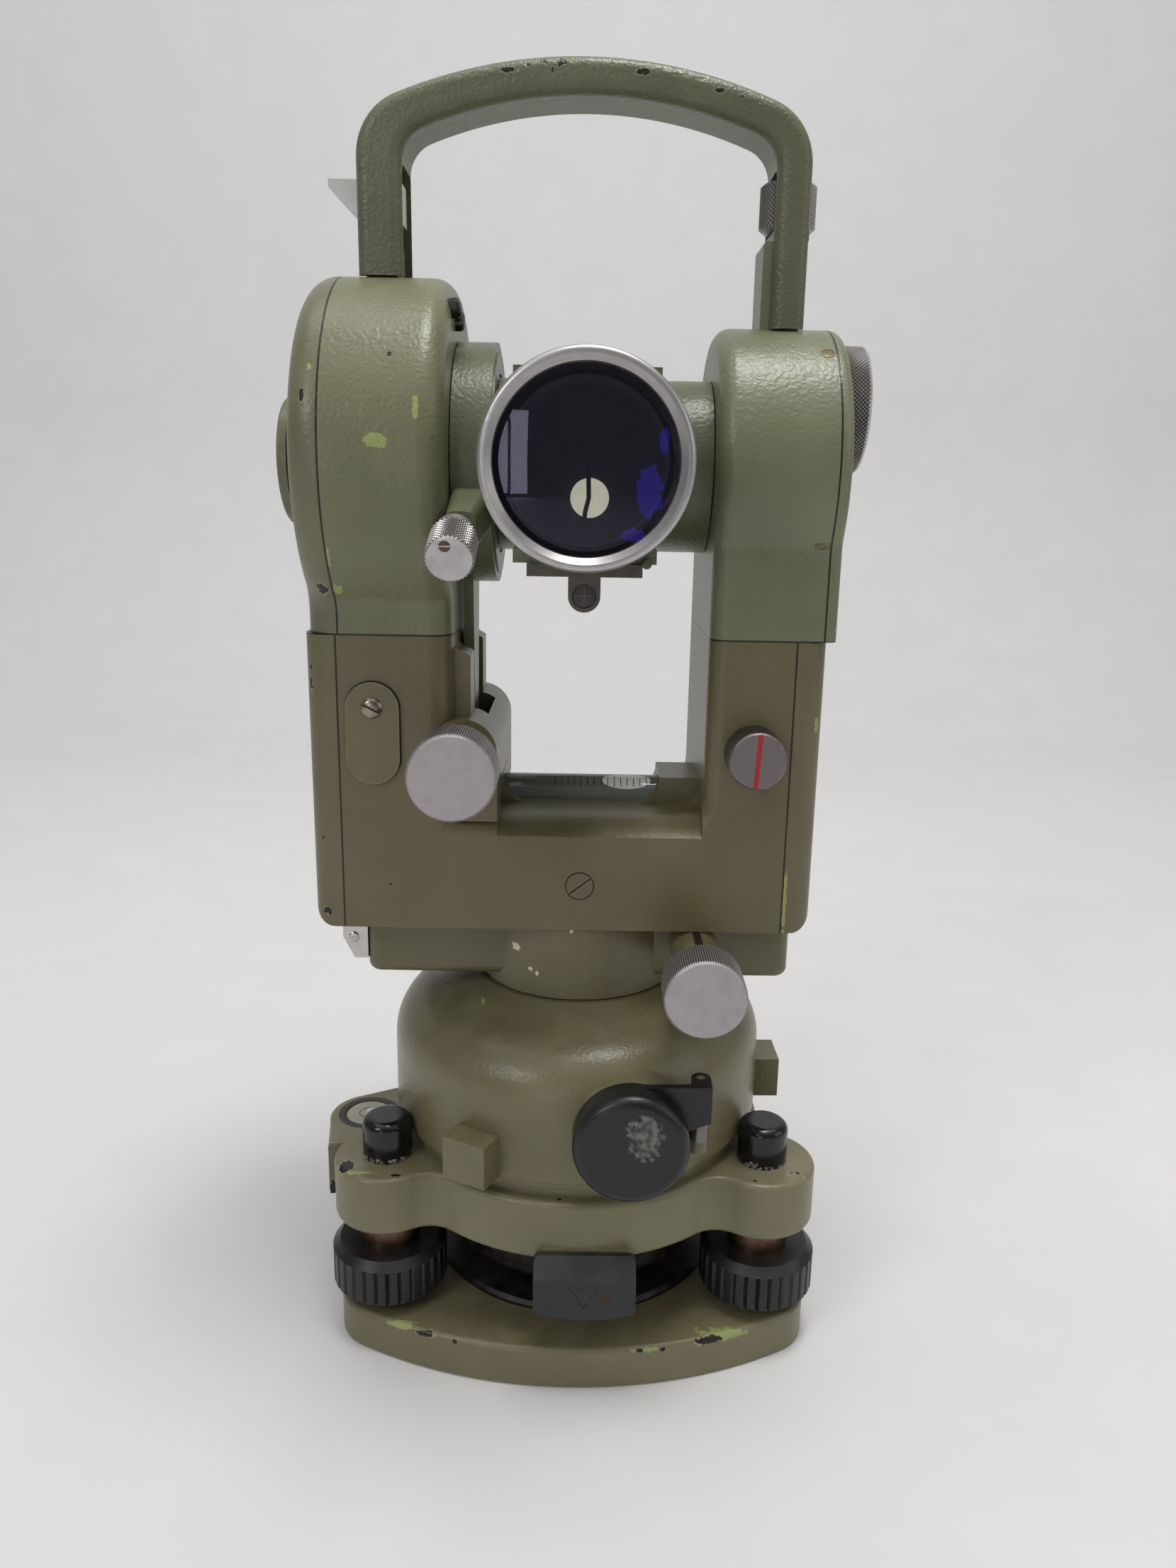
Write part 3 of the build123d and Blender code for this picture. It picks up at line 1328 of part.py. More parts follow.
# Telescope body: barrel and trunnion tube crossed, with the tube of the reading microscope
with BuildPart() as telescope_body:
    with BuildSketch(facing(barrel_rear)):
        with Locations((0, tilt_z)):
            Circle(barrel_outer_r)
    extrude(amount=barrel_rear + barrel_front)
    chamfer(edges().group_by(Axis.Y)[-1], barrel_outer_r - barrel_tail_r - barrel_step)
    with BuildSketch(facing(barrel_tail_rear)):
        with Locations((0, tilt_z)):
            Circle(barrel_tail_r)
    extrude(amount=barrel_tail_rear)
    with BuildSketch(facing(eye_end - eye_lip)):
        with Locations((0, tilt_z)):
            Circle(eye_tube_r)
    extrude(amount=eye_end - eye_lip)
    with BuildSketch(Plane.YZ.offset(clamp_right + clamp_retainer_thick + face_gap)):
        with Locations((0, tilt_z)):
            Circle(trunnion_r)
    extrude(amount=right_wall - skin_gap - clamp_right - clamp_retainer_thick - face_gap)
    with BuildSketch(Plane.YZ.offset(left_wall + face_gap)):
        with Locations((0, tilt_z)):
            Circle(journal_r)
    extrude(amount=-axle_seat - left_wall)
    for side, pad_reach in ((-1, sight_pad_drop), (1, sight_pad_rise)):
        with BuildSketch(Plane.XY.offset(tilt_z + side * pad_reach)):
            with Locations((0, -sight_front + sight_pad_step + sight_pad_length / 2)):
                Rectangle(2 * sight_pad_half, sight_pad_length)
        extrude(amount=-side * sight_pad_thick)
        with BuildSketch(Plane.XY.offset(tilt_z + side * pad_reach)):
            with Locations((0, -sight_front + sight_pad_step + sight_pad_length / 2)):
                Rectangle(2 * sight_pad_root, sight_pad_length)
        extrude(amount=-side * (pad_reach - barrel_bore_r))
    with BuildSketch(facing(scope_end)):
        with Locations((scope_x, tilt_z)):
            Circle(scope_r)
    extrude(amount=scope_end - scope_start)
    with BuildSketch(facing(barrel_bore_rear)):
        with Locations((0, tilt_z)):
            Circle(barrel_bore_r)
    extrude(amount=barrel_bore_rear + barrel_front, mode=Mode.SUBTRACT)
    with BuildSketch(facing(eye_end)):
        with Locations((0, tilt_z)):
            Circle(eye_bore_r)
    extrude(amount=eye_end, mode=Mode.SUBTRACT)
    with BuildSketch(Plane.YZ.offset(-axle_seat)):
        with Locations((0, tilt_z)):
            Circle(axle_r)
    extrude(amount=left_wall + axle_seat, mode=Mode.SUBTRACT)
    with BuildSketch(Plane.YZ.offset(axle_seat)):
        with Locations((0, tilt_z)):
            Circle(axle_r)
    extrude(amount=right_wall - axle_seat, mode=Mode.SUBTRACT)
    with BuildSketch(Plane.YZ.offset(-axle_seat)):
        with Locations((0, tilt_z)):
            Circle(axle_bore_r)
    extrude(amount=2 * axle_seat, mode=Mode.SUBTRACT)
telescope_body.part.label = "telescope_body"
export_step(telescope_body.part, "parts/telescope_body.step")

# Tilting axle: two hollow stubs pressed into the trunnion tube
with BuildPart() as trunnion_axles:
    with BuildSketch(Plane.YZ.offset(axle_left_end)):
        with Locations((0, tilt_z)):
            Circle(axle_r)
            Circle(axle_bore_r, mode=Mode.SUBTRACT)
    extrude(amount=-axle_seat - axle_left_end)
    with BuildSketch(Plane.YZ.offset(axle_seat)):
        with Locations((0, tilt_z)):
            Circle(axle_r)
            Circle(axle_bore_r, mode=Mode.SUBTRACT)
    extrude(amount=axle_right_end - axle_seat)
trunnion_axles.part.label = "trunnion_axles"
export_step(trunnion_axles.part, "parts/trunnion_axles.step")

# Vertical circle on its hub, in the cave of the left housing
with BuildPart() as vertical_circle:
    with BuildSketch(Plane.YZ.offset(v_circle_x)):
        with Locations((0, tilt_z)):
            Circle(v_circle_r)
            Circle(axle_r, mode=Mode.SUBTRACT)
    extrude(amount=v_circle_thick)
    with BuildSketch(Plane.YZ.offset(v_circle_x - v_hub_len)):
        with Locations((0, tilt_z)):
            Circle(v_hub_r)
            Circle(axle_r, mode=Mode.SUBTRACT)
    extrude(amount=v_hub_len)
vertical_circle.part.label = "vertical_circle"
export_step(vertical_circle.part, "parts/vertical_circle.step")

# Objective: the bright cell and its coated lens
with BuildPart() as objective_ring:
    with BuildSketch(facing(-barrel_front)):
        with Locations((0, tilt_z)):
            Circle(objective_r)
            Circle(objective_glass_r, mode=Mode.SUBTRACT)
    extrude(amount=objective_front - barrel_front)
    front_edges = edges().group_by(Axis.Y)[0].sort_by(SortBy.RADIUS)
    chamfer(front_edges[0], objective_bevel / 2)
    fillet(edges().group_by(Axis.Y)[0].sort_by(SortBy.RADIUS)[-1], objective_edge_r)
objective_ring.part.label = "objective_ring"
export_step(objective_ring.part, "parts/objective_ring.step")

with BuildPart() as objective_lens:
    with BuildSketch(facing(-barrel_front)):
        with Locations((0, tilt_z)):
            Circle(objective_glass_r)
    extrude(amount=objective_seat + lens_bulge - barrel_front)
    with Locations((0, lens_radius - objective_seat - lens_bulge, tilt_z)):
        Sphere(lens_radius, mode=Mode.INTERSECT)
objective_lens.part.label = "objective_lens"
export_step(objective_lens.part, "parts/objective_lens.step")

# Sight below the barrel: a plate with a lug round the sight tube
with BuildPart() as sights:
    with BuildSketch(Plane.XY.offset(tilt_z - sight_pad_drop)):
        with Locations((0, -sight_front + sight_plate_length / 2)):
            Rectangle(2 * sight_plate_half, sight_plate_length)
    extrude(amount=sight_pad_drop - sight_plate_drop)
    with BuildSketch(facing(-sight_front + sight_plate_length)):
        with Locations((0, tilt_z - sight_tube_drop)):
            Circle(sight_tube_r)
        with Locations((0, tilt_z - (sight_tube_drop + sight_plate_drop) / 2)):
            Rectangle(2 * sight_tube_r, sight_tube_drop - sight_plate_drop)
    extrude(amount=sight_plate_length)
    with BuildSketch(facing(-sight_front)):
        with Locations((0, tilt_z - sight_tube_drop)):
            Circle(sight_glass_r)
    extrude(amount=-sight_glass_recess, mode=Mode.SUBTRACT)
sights.part.label = "sights"
export_step(sights.part, "parts/sights.step")

# Focusing ring, eyepiece ring and the ring of the reading microscope
with BuildPart() as focusing_ring:
    with BuildSketch(facing(barrel_tail_rear + face_gap + focus_ring_len)):
        with Locations((0, tilt_z)):
            Circle(focus_ring_r)
            with PolarLocations(focus_ring_r, focus_ribs):
                Rectangle(focus_notch, 2 * focus_notch, mode=Mode.SUBTRACT)
            Circle(eye_tube_r + run_fit, mode=Mode.SUBTRACT)
    extrude(amount=focus_ring_len)
focusing_ring.part.label = "focusing_ring"
export_step(focusing_ring.part, "parts/focusing_ring.step")

with BuildPart() as eyepiece_ring:
    with BuildSketch(facing(eye_end)):
        with Locations((0, tilt_z)):
            Circle(eye_ring_r)
    extrude(amount=eye_ring_len)
    chamfer(edges().group_by(Axis.Y)[-1], eye_bevel)
    with BuildSketch(facing(eye_end)):
        with Locations((0, tilt_z)):
            Circle(eye_tube_r + run_fit)
    extrude(amount=eye_ring_len, mode=Mode.SUBTRACT)
eyepiece_ring.part.label = "eyepiece_ring"
export_step(eyepiece_ring.part, "parts/eyepiece_ring.step")

with BuildPart() as microscope_ring:
    with BuildSketch(facing(scope_ring_start + scope_ring_len)):
        with Locations((scope_x, tilt_z)):
            Circle(scope_ring_r)
            Circle(scope_r + run_fit, mode=Mode.SUBTRACT)
    extrude(amount=scope_ring_len)
microscope_ring.part.label = "microscope_ring"
export_step(microscope_ring.part, "parts/microscope_ring.step")

# Illumination mirror: a ring that turns in the left cover and the hinged disc on it
mirror_pin_z = tilt_z - mirror_hinge_drop
mirror_lug_start = mirror_knuckle_half + face_gap
ring_inner = left_cover_outer - face_gap
ring_outer = ring_inner - mirror_ring_thick
with BuildPart() as mirror_ring:
    with BuildSketch(Plane.YZ.offset(ring_inner)):
        with Locations((0, tilt_z)):
            Circle(mirror_ring_r)
    extrude(amount=-mirror_ring_thick)
    with BuildSketch(Plane.YZ.offset(ring_inner)):
        with Locations((0, tilt_z)):
            Circle(mirror_spigot_r)
    extrude(amount=mirror_spigot_len)
    for side in (-1, 1):
        with BuildSketch(facing(side * (mirror_lug_start + mirror_lug_thick / 2))):
            with Locations((mirror_pin_x, mirror_pin_z)):
                Circle(mirror_knuckle_r)
            with Locations(((mirror_pin_x + ring_inner) / 2, mirror_pin_z)):
                Rectangle(ring_inner - mirror_pin_x, 2 * mirror_knuckle_r)
        extrude(amount=mirror_lug_thick / 2, both=True)
    with BuildSketch(facing(mirror_lug_start + mirror_lug_thick)):
        with Locations((mirror_pin_x, mirror_pin_z)):
            Circle(mirror_pin_r + run_fit)
    extrude(amount=2 * (mirror_lug_start + mirror_lug_thick), mode=Mode.SUBTRACT)
    with BuildSketch(Plane.YZ.offset(ring_outer)):
        with Locations((0, tilt_z)):
            Circle(mirror_window_r)
    extrude(amount=mirror_ring_thick + mirror_spigot_len, mode=Mode.SUBTRACT)
mirror_ring.part.label = "mirror_ring"
export_step(mirror_ring.part, "parts/mirror_ring.step")

with BuildPart() as mirror_flap:
    with BuildSketch(Plane.YZ.offset(mirror_outer)):
        with Locations((0, tilt_z)):
            Circle(mirror_r)
    extrude(amount=mirror_thick)
    fillet(edges().group_by(Axis.X)[0], mirror_edge_r)
    for side in (-1, 1):
        with BuildSketch(Plane.YZ.offset(mirror_outer)):
            with Locations((side * (mirror_knuckle_half + mirror_notch_width / 2), mirror_pin_z)):
                Rectangle(mirror_notch_width, 2 * mirror_notch_reach)
        extrude(amount=mirror_thick, mode=Mode.SUBTRACT)
    with BuildSketch(facing(mirror_knuckle_half)):
        with Locations((mirror_pin_x, mirror_pin_z)):
            Circle(mirror_knuckle_r)
    extrude(amount=2 * mirror_knuckle_half)
    with BuildSketch(facing(mirror_lug_start + mirror_lug_thick)):
        with Locations((mirror_pin_x, mirror_pin_z)):
            Circle(mirror_pin_r)
    extrude(amount=2 * (mirror_lug_start + mirror_lug_thick))
mirror_flap.part.label = "mirror_flap"
export_step(mirror_flap.part, "parts/mirror_flap.step")

# Knurled drum of the optical micrometer on the right cover
with BuildPart() as micrometer_drum:
    with BuildSketch(Plane.YZ.offset(right_cover_outer + face_gap)):
        with Locations((0, drum_z)):
            Circle(drum_r)
    extrude(amount=drum_thick)
    fillet(edges().group_by(Axis.X)[-1], drum_edge_r)
    with BuildSketch(Plane.YZ.offset(right_cover_outer + face_gap)):
        with Locations((0, drum_z)):
            Circle(drum_shaft_r)
    extrude(amount=-drum_shaft_len)
micrometer_drum.part.label = "micrometer_drum"
export_step(micrometer_drum.part, "parts/micrometer_drum.step")

# Carrying handle: an arched bar on two hollow legs that stand over the lugs
crown_foot = crown_z - crown_rise
crown_inner_foot = crown_inner_z - crown_inner_rise
outer_middle = (left_leg_outer + right_leg_outer) / 2
inner_middle = (left_leg_inner + right_leg_inner) / 2
web_bottom = right_lug_top + run_fit
with BuildPart() as handle:
    with BuildSketch(facing(handle_half)):
        with BuildLine():
            Polyline(
                (left_leg_outer, crown_foot),
                (left_leg_outer, left_foot),
                (left_leg_inner, left_foot),
                (left_leg_inner, crown_inner_foot),
            )
            ThreePointArc(
                (left_leg_inner, crown_inner_foot),
                (inner_middle, crown_inner_z),
                (right_leg_inner, crown_inner_foot),
            )
            Polyline(
                (right_leg_inner, crown_inner_foot),
                (right_leg_inner, right_foot),
                (right_leg_outer, right_foot),
                (right_leg_outer, crown_foot),
            )
            ThreePointArc(
                (right_leg_outer, crown_foot), (outer_middle, crown_z), (left_leg_outer, crown_foot)
            )
        make_face()
        fillet([v for v in vertices() if abs(v.Y - crown_foot) < 0.01], handle_corner_r)
        fillet([v for v in vertices() if abs(v.Y - crown_inner_foot) < 0.01], handle_inner_corner_r)
    extrude(amount=2 * handle_half)
    long_edges = edges().group_by(Axis.Y)[0] + edges().group_by(Axis.Y)[-1]
    fillet([e for e in long_edges if e.center().Z > left_foot + pick_gap], handle_edge_r)
    for inner, outer, foot, top in (
        (left_leg_inner, left_leg_outer, left_foot, left_window_top),
        (right_leg_inner, right_leg_outer, right_foot, right_window_top),
    ):
        with BuildSketch(Plane.YZ.offset(inner)):
            with Locations((0, (foot + top) / 2)):
                Rectangle(2 * window_half, top - foot)
            fillet(vertices().group_by(Axis.Y)[-1], window_corner_r)
        extrude(amount=outer - inner, mode=Mode.SUBTRACT)
    with BuildSketch(Plane.XY.offset(web_bottom)):
        with Locations(((right_leg_inner + right_leg_outer) / 2, 0)):
            Rectangle(right_leg_outer - right_leg_inner, 2 * (window_half + web_lap))
        with Locations((handle_knob_x, 0)):
            Circle(handle_stem_r + run_fit, mode=Mode.SUBTRACT)
    extrude(amount=web_thick)
    with BuildSketch(facing(handle_half)):
        with Locations((lever_pin_x, lever_pin_z)):
            Circle(lever_pin_r + run_fit)
    extrude(amount=2 * handle_half, mode=Mode.SUBTRACT)
handle.part.label = "handle"
export_step(handle.part, "parts/handle.step")

with BuildPart() as handle_knob:
    with BuildSketch(Plane.XY.offset(handle_knob_low)):
        with Locations((handle_knob_x, 0)):
            Circle(handle_knob_r)
    extrude(amount=handle_knob_high - handle_knob_low)
    chamfer(edges().group_by(Axis.Z)[0] + edges().group_by(Axis.Z)[-1], knob_bevel)
    with BuildSketch(Plane.XY.offset(right_lug_top - handle_stem_depth)):
        with Locations((handle_knob_x, 0)):
            Circle(handle_stem_r)
    extrude(amount=handle_knob_low - right_lug_top + handle_stem_depth)
handle_knob.part.label = "handle_knob"
export_step(handle_knob.part, "parts/handle_knob.step")

with BuildPart() as handle_lever:
    with BuildSketch(facing(lever_half)):
        with BuildLine():
            Polyline(
                (lever_tip_x, lever_top),
                (lever_inner, lever_top),
                (lever_inner, lever_low),
                (left_leg_outer, lever_low),
                (lever_tip_x, lever_top - lever_tip_thick),
                close=True,
            )
        make_face()
    extrude(amount=2 * lever_half)
    with BuildSketch(facing(handle_half - skin_gap)):
        with Locations((lever_pin_x, lever_pin_z)):
            Circle(lever_pin_r)
    extrude(amount=2 * (handle_half - skin_gap))
handle_lever.part.label = "handle_lever"
export_step(handle_lever.part, "parts/handle_lever.step")
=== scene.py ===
"""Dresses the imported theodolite: finishes, small fittings, the studio and the camera."""

import json
import logging
import math
from collections.abc import Callable, Iterable, Sequence
from dataclasses import dataclass
from enum import Enum

import bmesh
import bpy
from mathutils import Matrix, Vector
from mathutils.bvhtree import BVHTree

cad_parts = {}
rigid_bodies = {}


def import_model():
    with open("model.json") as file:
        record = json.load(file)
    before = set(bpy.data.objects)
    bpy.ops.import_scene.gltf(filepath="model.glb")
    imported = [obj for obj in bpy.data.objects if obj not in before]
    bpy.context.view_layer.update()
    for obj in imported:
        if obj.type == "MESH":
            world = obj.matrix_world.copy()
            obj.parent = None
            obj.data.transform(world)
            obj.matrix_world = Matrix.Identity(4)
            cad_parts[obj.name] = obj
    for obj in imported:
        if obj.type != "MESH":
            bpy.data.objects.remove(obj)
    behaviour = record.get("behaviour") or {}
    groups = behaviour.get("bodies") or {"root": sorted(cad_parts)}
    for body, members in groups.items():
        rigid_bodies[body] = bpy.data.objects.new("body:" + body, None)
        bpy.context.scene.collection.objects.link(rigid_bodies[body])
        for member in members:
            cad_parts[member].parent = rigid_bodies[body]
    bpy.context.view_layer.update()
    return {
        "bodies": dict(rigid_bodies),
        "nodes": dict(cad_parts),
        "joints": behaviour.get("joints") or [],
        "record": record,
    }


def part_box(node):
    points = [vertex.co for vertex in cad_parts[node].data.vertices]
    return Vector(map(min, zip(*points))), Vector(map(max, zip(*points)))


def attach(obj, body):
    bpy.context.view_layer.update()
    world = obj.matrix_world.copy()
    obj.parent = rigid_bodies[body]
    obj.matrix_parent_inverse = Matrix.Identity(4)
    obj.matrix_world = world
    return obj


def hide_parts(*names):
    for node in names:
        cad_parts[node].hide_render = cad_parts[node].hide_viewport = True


log = logging.getLogger("theodolite")

MM = 0.001
NEARLY_UPRIGHT = 0.9
SLOT_LIMIT = 0.95
Triple = tuple[float, float, float]
Profile = Sequence[tuple[float, float]]
Socket = bpy.types.NodeSocket
Node = bpy.types.Node
NodeTree = bpy.types.NodeTree
Material = bpy.types.Material
Vert = bmesh.types.BMVert

# Display colours that several finishes share
DUST_ON_ENAMEL = (186.0, 184.0, 160.0)
DUST_ON_METAL = (150.0, 148.0, 140.0)
DUST_ON_PLASTIC = (120.0, 118.0, 112.0)
DUST_SPECK = (120.0, 120.0, 120.0)
RUBBED_METAL = (150.0, 148.0, 142.0)
RUBBED_PLASTIC = (120.0, 120.0, 118.0)
JOINT_DARK = (26.0, 24.0, 17.0)
UNLIT = (0.0, 0.0, 0.0)


class Axis(Enum):
    """Directions in which small fittings point."""

    RIGHT = (1.0, 0.0, 0.0)
    LEFT = (-1.0, 0.0, 0.0)
    FRONT = (0.0, -1.0, 0.0)
    BACK = (0.0, 1.0, 0.0)
    UP = (0.0, 0.0, 1.0)


# Joints in the enamel: each an axis and its level in millimetres
FRAME_TOP_SEAM = (Axis.UP, 208.5)
FRAME_SEAMS = ((Axis.RIGHT, -65.3), (Axis.RIGHT, 56.5), FRAME_TOP_SEAM)
UPPER_LEFT_SEAMS = ((Axis.RIGHT, -64.6), FRAME_TOP_SEAM)
UPPER_RIGHT_SEAMS = ((Axis.RIGHT, 63.5), FRAME_TOP_SEAM)
COLLAR_SEAMS = ((Axis.UP, 126.8),)


class Wear(Enum):
    """How deep a mark in the enamel goes."""

    PRIMER = 0.0
    METAL = 1.0


def mm(x: float, y: float, z: float) -> Vector:
    """A point given in millimetres, in metres."""
    return Vector((x, y, z)) * MM


def srgb(red: float, green: float, blue: float) -> tuple[float, float, float, float]:
    """Turns a display colour into the linear colour that shaders use.

    Args:
        red: Red, 0 to 255.
        green: Green, 0 to 255.
        blue: Blue, 0 to 255.

    Returns:
        The linear colour with alpha 1.
    """
    parts = []
    for value in (red, green, blue):
        share = value / 255.0
        parts.append(share / 12.92 if share <= 0.04045 else ((share + 0.055) / 1.055) ** 2.4)
    return (*parts, 1.0)


def place_on(centre: Triple, normal: Triple | Vector, turn: float = 0.0) -> Matrix:
    """The matrix that puts a fitting made along +Z, in millimetres, at a point of the object.

    Args:
        centre: Where the fitting's origin goes, in millimetres.
        normal: The direction its +Z takes.
        turn: Turn about that direction in degrees.

    Returns:
        A matrix from the fitting's millimetres to metres in the shared frame.
    """
    out = Vector(normal).normalized()
    side = Vector((0.0, 0.0, 1.0)) if abs(out.z) < NEARLY_UPRIGHT else Vector((0.0, 1.0, 0.0))
    across = side.cross(out).normalized()
    upright = out.cross(across)
    basis = Matrix((across, upright, out)).transposed().to_4x4()
    turned = Matrix.Rotation(math.radians(turn), 4, "Z")
    return Matrix.Translation(mm(*centre)) @ basis @ turned @ Matrix.Scale(MM, 4)


def steps(count: int) -> list[float]:
    """Evenly spaced angles round a circle, in radians."""
    return [2.0 * math.pi * index / count for index in range(count)]


# Shader node groups


class Tree:
    """Adds and links the nodes of one shader tree."""

    def __init__(self, tree: NodeTree) -> None:
        """Keeps the tree that the nodes go into."""
        self.tree = tree

    def add(self, kind: str, **settings: object) -> Node:
        """Adds a node.

        Args:
            kind: The node's type name.
            settings: Attributes to set on it.

        Returns:
            The node.
        """
        node = self.tree.nodes.new(kind)
        for name, value in settings.items():
            setattr(node, name, value)
        return node

    def feed(self, socket: Socket, value: object) -> None:
        """Links a socket to another, or sets its value.

        Args:
            socket: The input socket.
            value: A socket to link, or a plain value.
        """
        if isinstance(value, Socket):
            self.tree.links.new(value, socket)
        else:
            socket.default_value = value

    def math(self, operation: str, *values: object, clamp: bool = False) -> Socket:
        """The result of a Math node on sockets or numbers.

        Args:
            operation: The node's operation.
            values: A socket or a plain value for each input.
            clamp: Keeps the result from 0 to 1.

        Returns:
            The result.
        """
        node = self.add("ShaderNodeMath", operation=operation, use_clamp=clamp)
        for socket, value in zip(node.inputs, values):
            self.feed(socket, value)
        return node.outputs[0]

    def vector(self, operation: str, *values: object) -> Node:
        """A Vector Math node on sockets or triples.

        Args:
            operation: The node's operation.
            values: A socket or a plain value for each input.

        Returns:
            The node.
        """
        node = self.add("ShaderNodeVectorMath", operation=operation)
        for socket, value in zip(node.inputs, values):
            self.feed(socket, value)
        return node

    def mix(self, factor: object, first: object, second: object) -> Socket:
        """The mix of two colours by a factor.

        Args:
            factor: Share of the second colour.
            first: The first colour.
            second: The second colour.

        Returns:
            The mixed colour.
        """
        node = self.add("ShaderNodeMix", data_type="RGBA")
        self.feed(node.inputs[0], factor)
        self.feed(node.inputs[6], first)
        self.feed(node.inputs[7], second)
        return node.outputs[2]

    def ramp(
        self, value: object, low: float, high: float, start: float = 0.0, end: float = 1.0
    ) -> Socket:
        """A value taken from one range to another, clamped.

        Args:
            value: The value or its socket.
            low: What becomes the start.
            high: What becomes the end.
            start: Result at the low value.
            end: Result at the high value.

        Returns:
            The value in its new range.
        """
        node = self.add("ShaderNodeMapRange", clamp=True)
        for socket, number in zip(node.inputs, (value, low, high, start, end)):
            self.feed(socket, number)
        return node.outputs[0]

    def noise(
        self, where: object, scale: object, detail: float = 2.0, distortion: float = 0.0
    ) -> Socket:
        """A noise texture's value at a vector.

        Args:
            where: The vector.
            scale: Cells per millimetre.
            detail: Octaves.
            distortion: How far the pattern is bent.

        Returns:
            The texture's value.
        """
        node = self.add("ShaderNodeTexNoise")
        self.feed(node.inputs["Vector"], where)
        self.feed(node.inputs["Scale"], scale)
        self.feed(node.inputs["Detail"], detail)
        self.feed(node.inputs["Distortion"], distortion)
        return node.outputs["Fac"]

    def object_mm(self) -> Socket:
        """The surface point in the shared frame, in millimetres.

        Returns:
            The point.
        """
        where = self.add("ShaderNodeTexCoord").outputs["Object"]
        scaled = self.add("ShaderNodeVectorMath", operation="SCALE")
        self.feed(scaled.inputs[0], where)
        self.feed(scaled.inputs["Scale"], 1.0 / MM)
        return scaled.outputs[0]


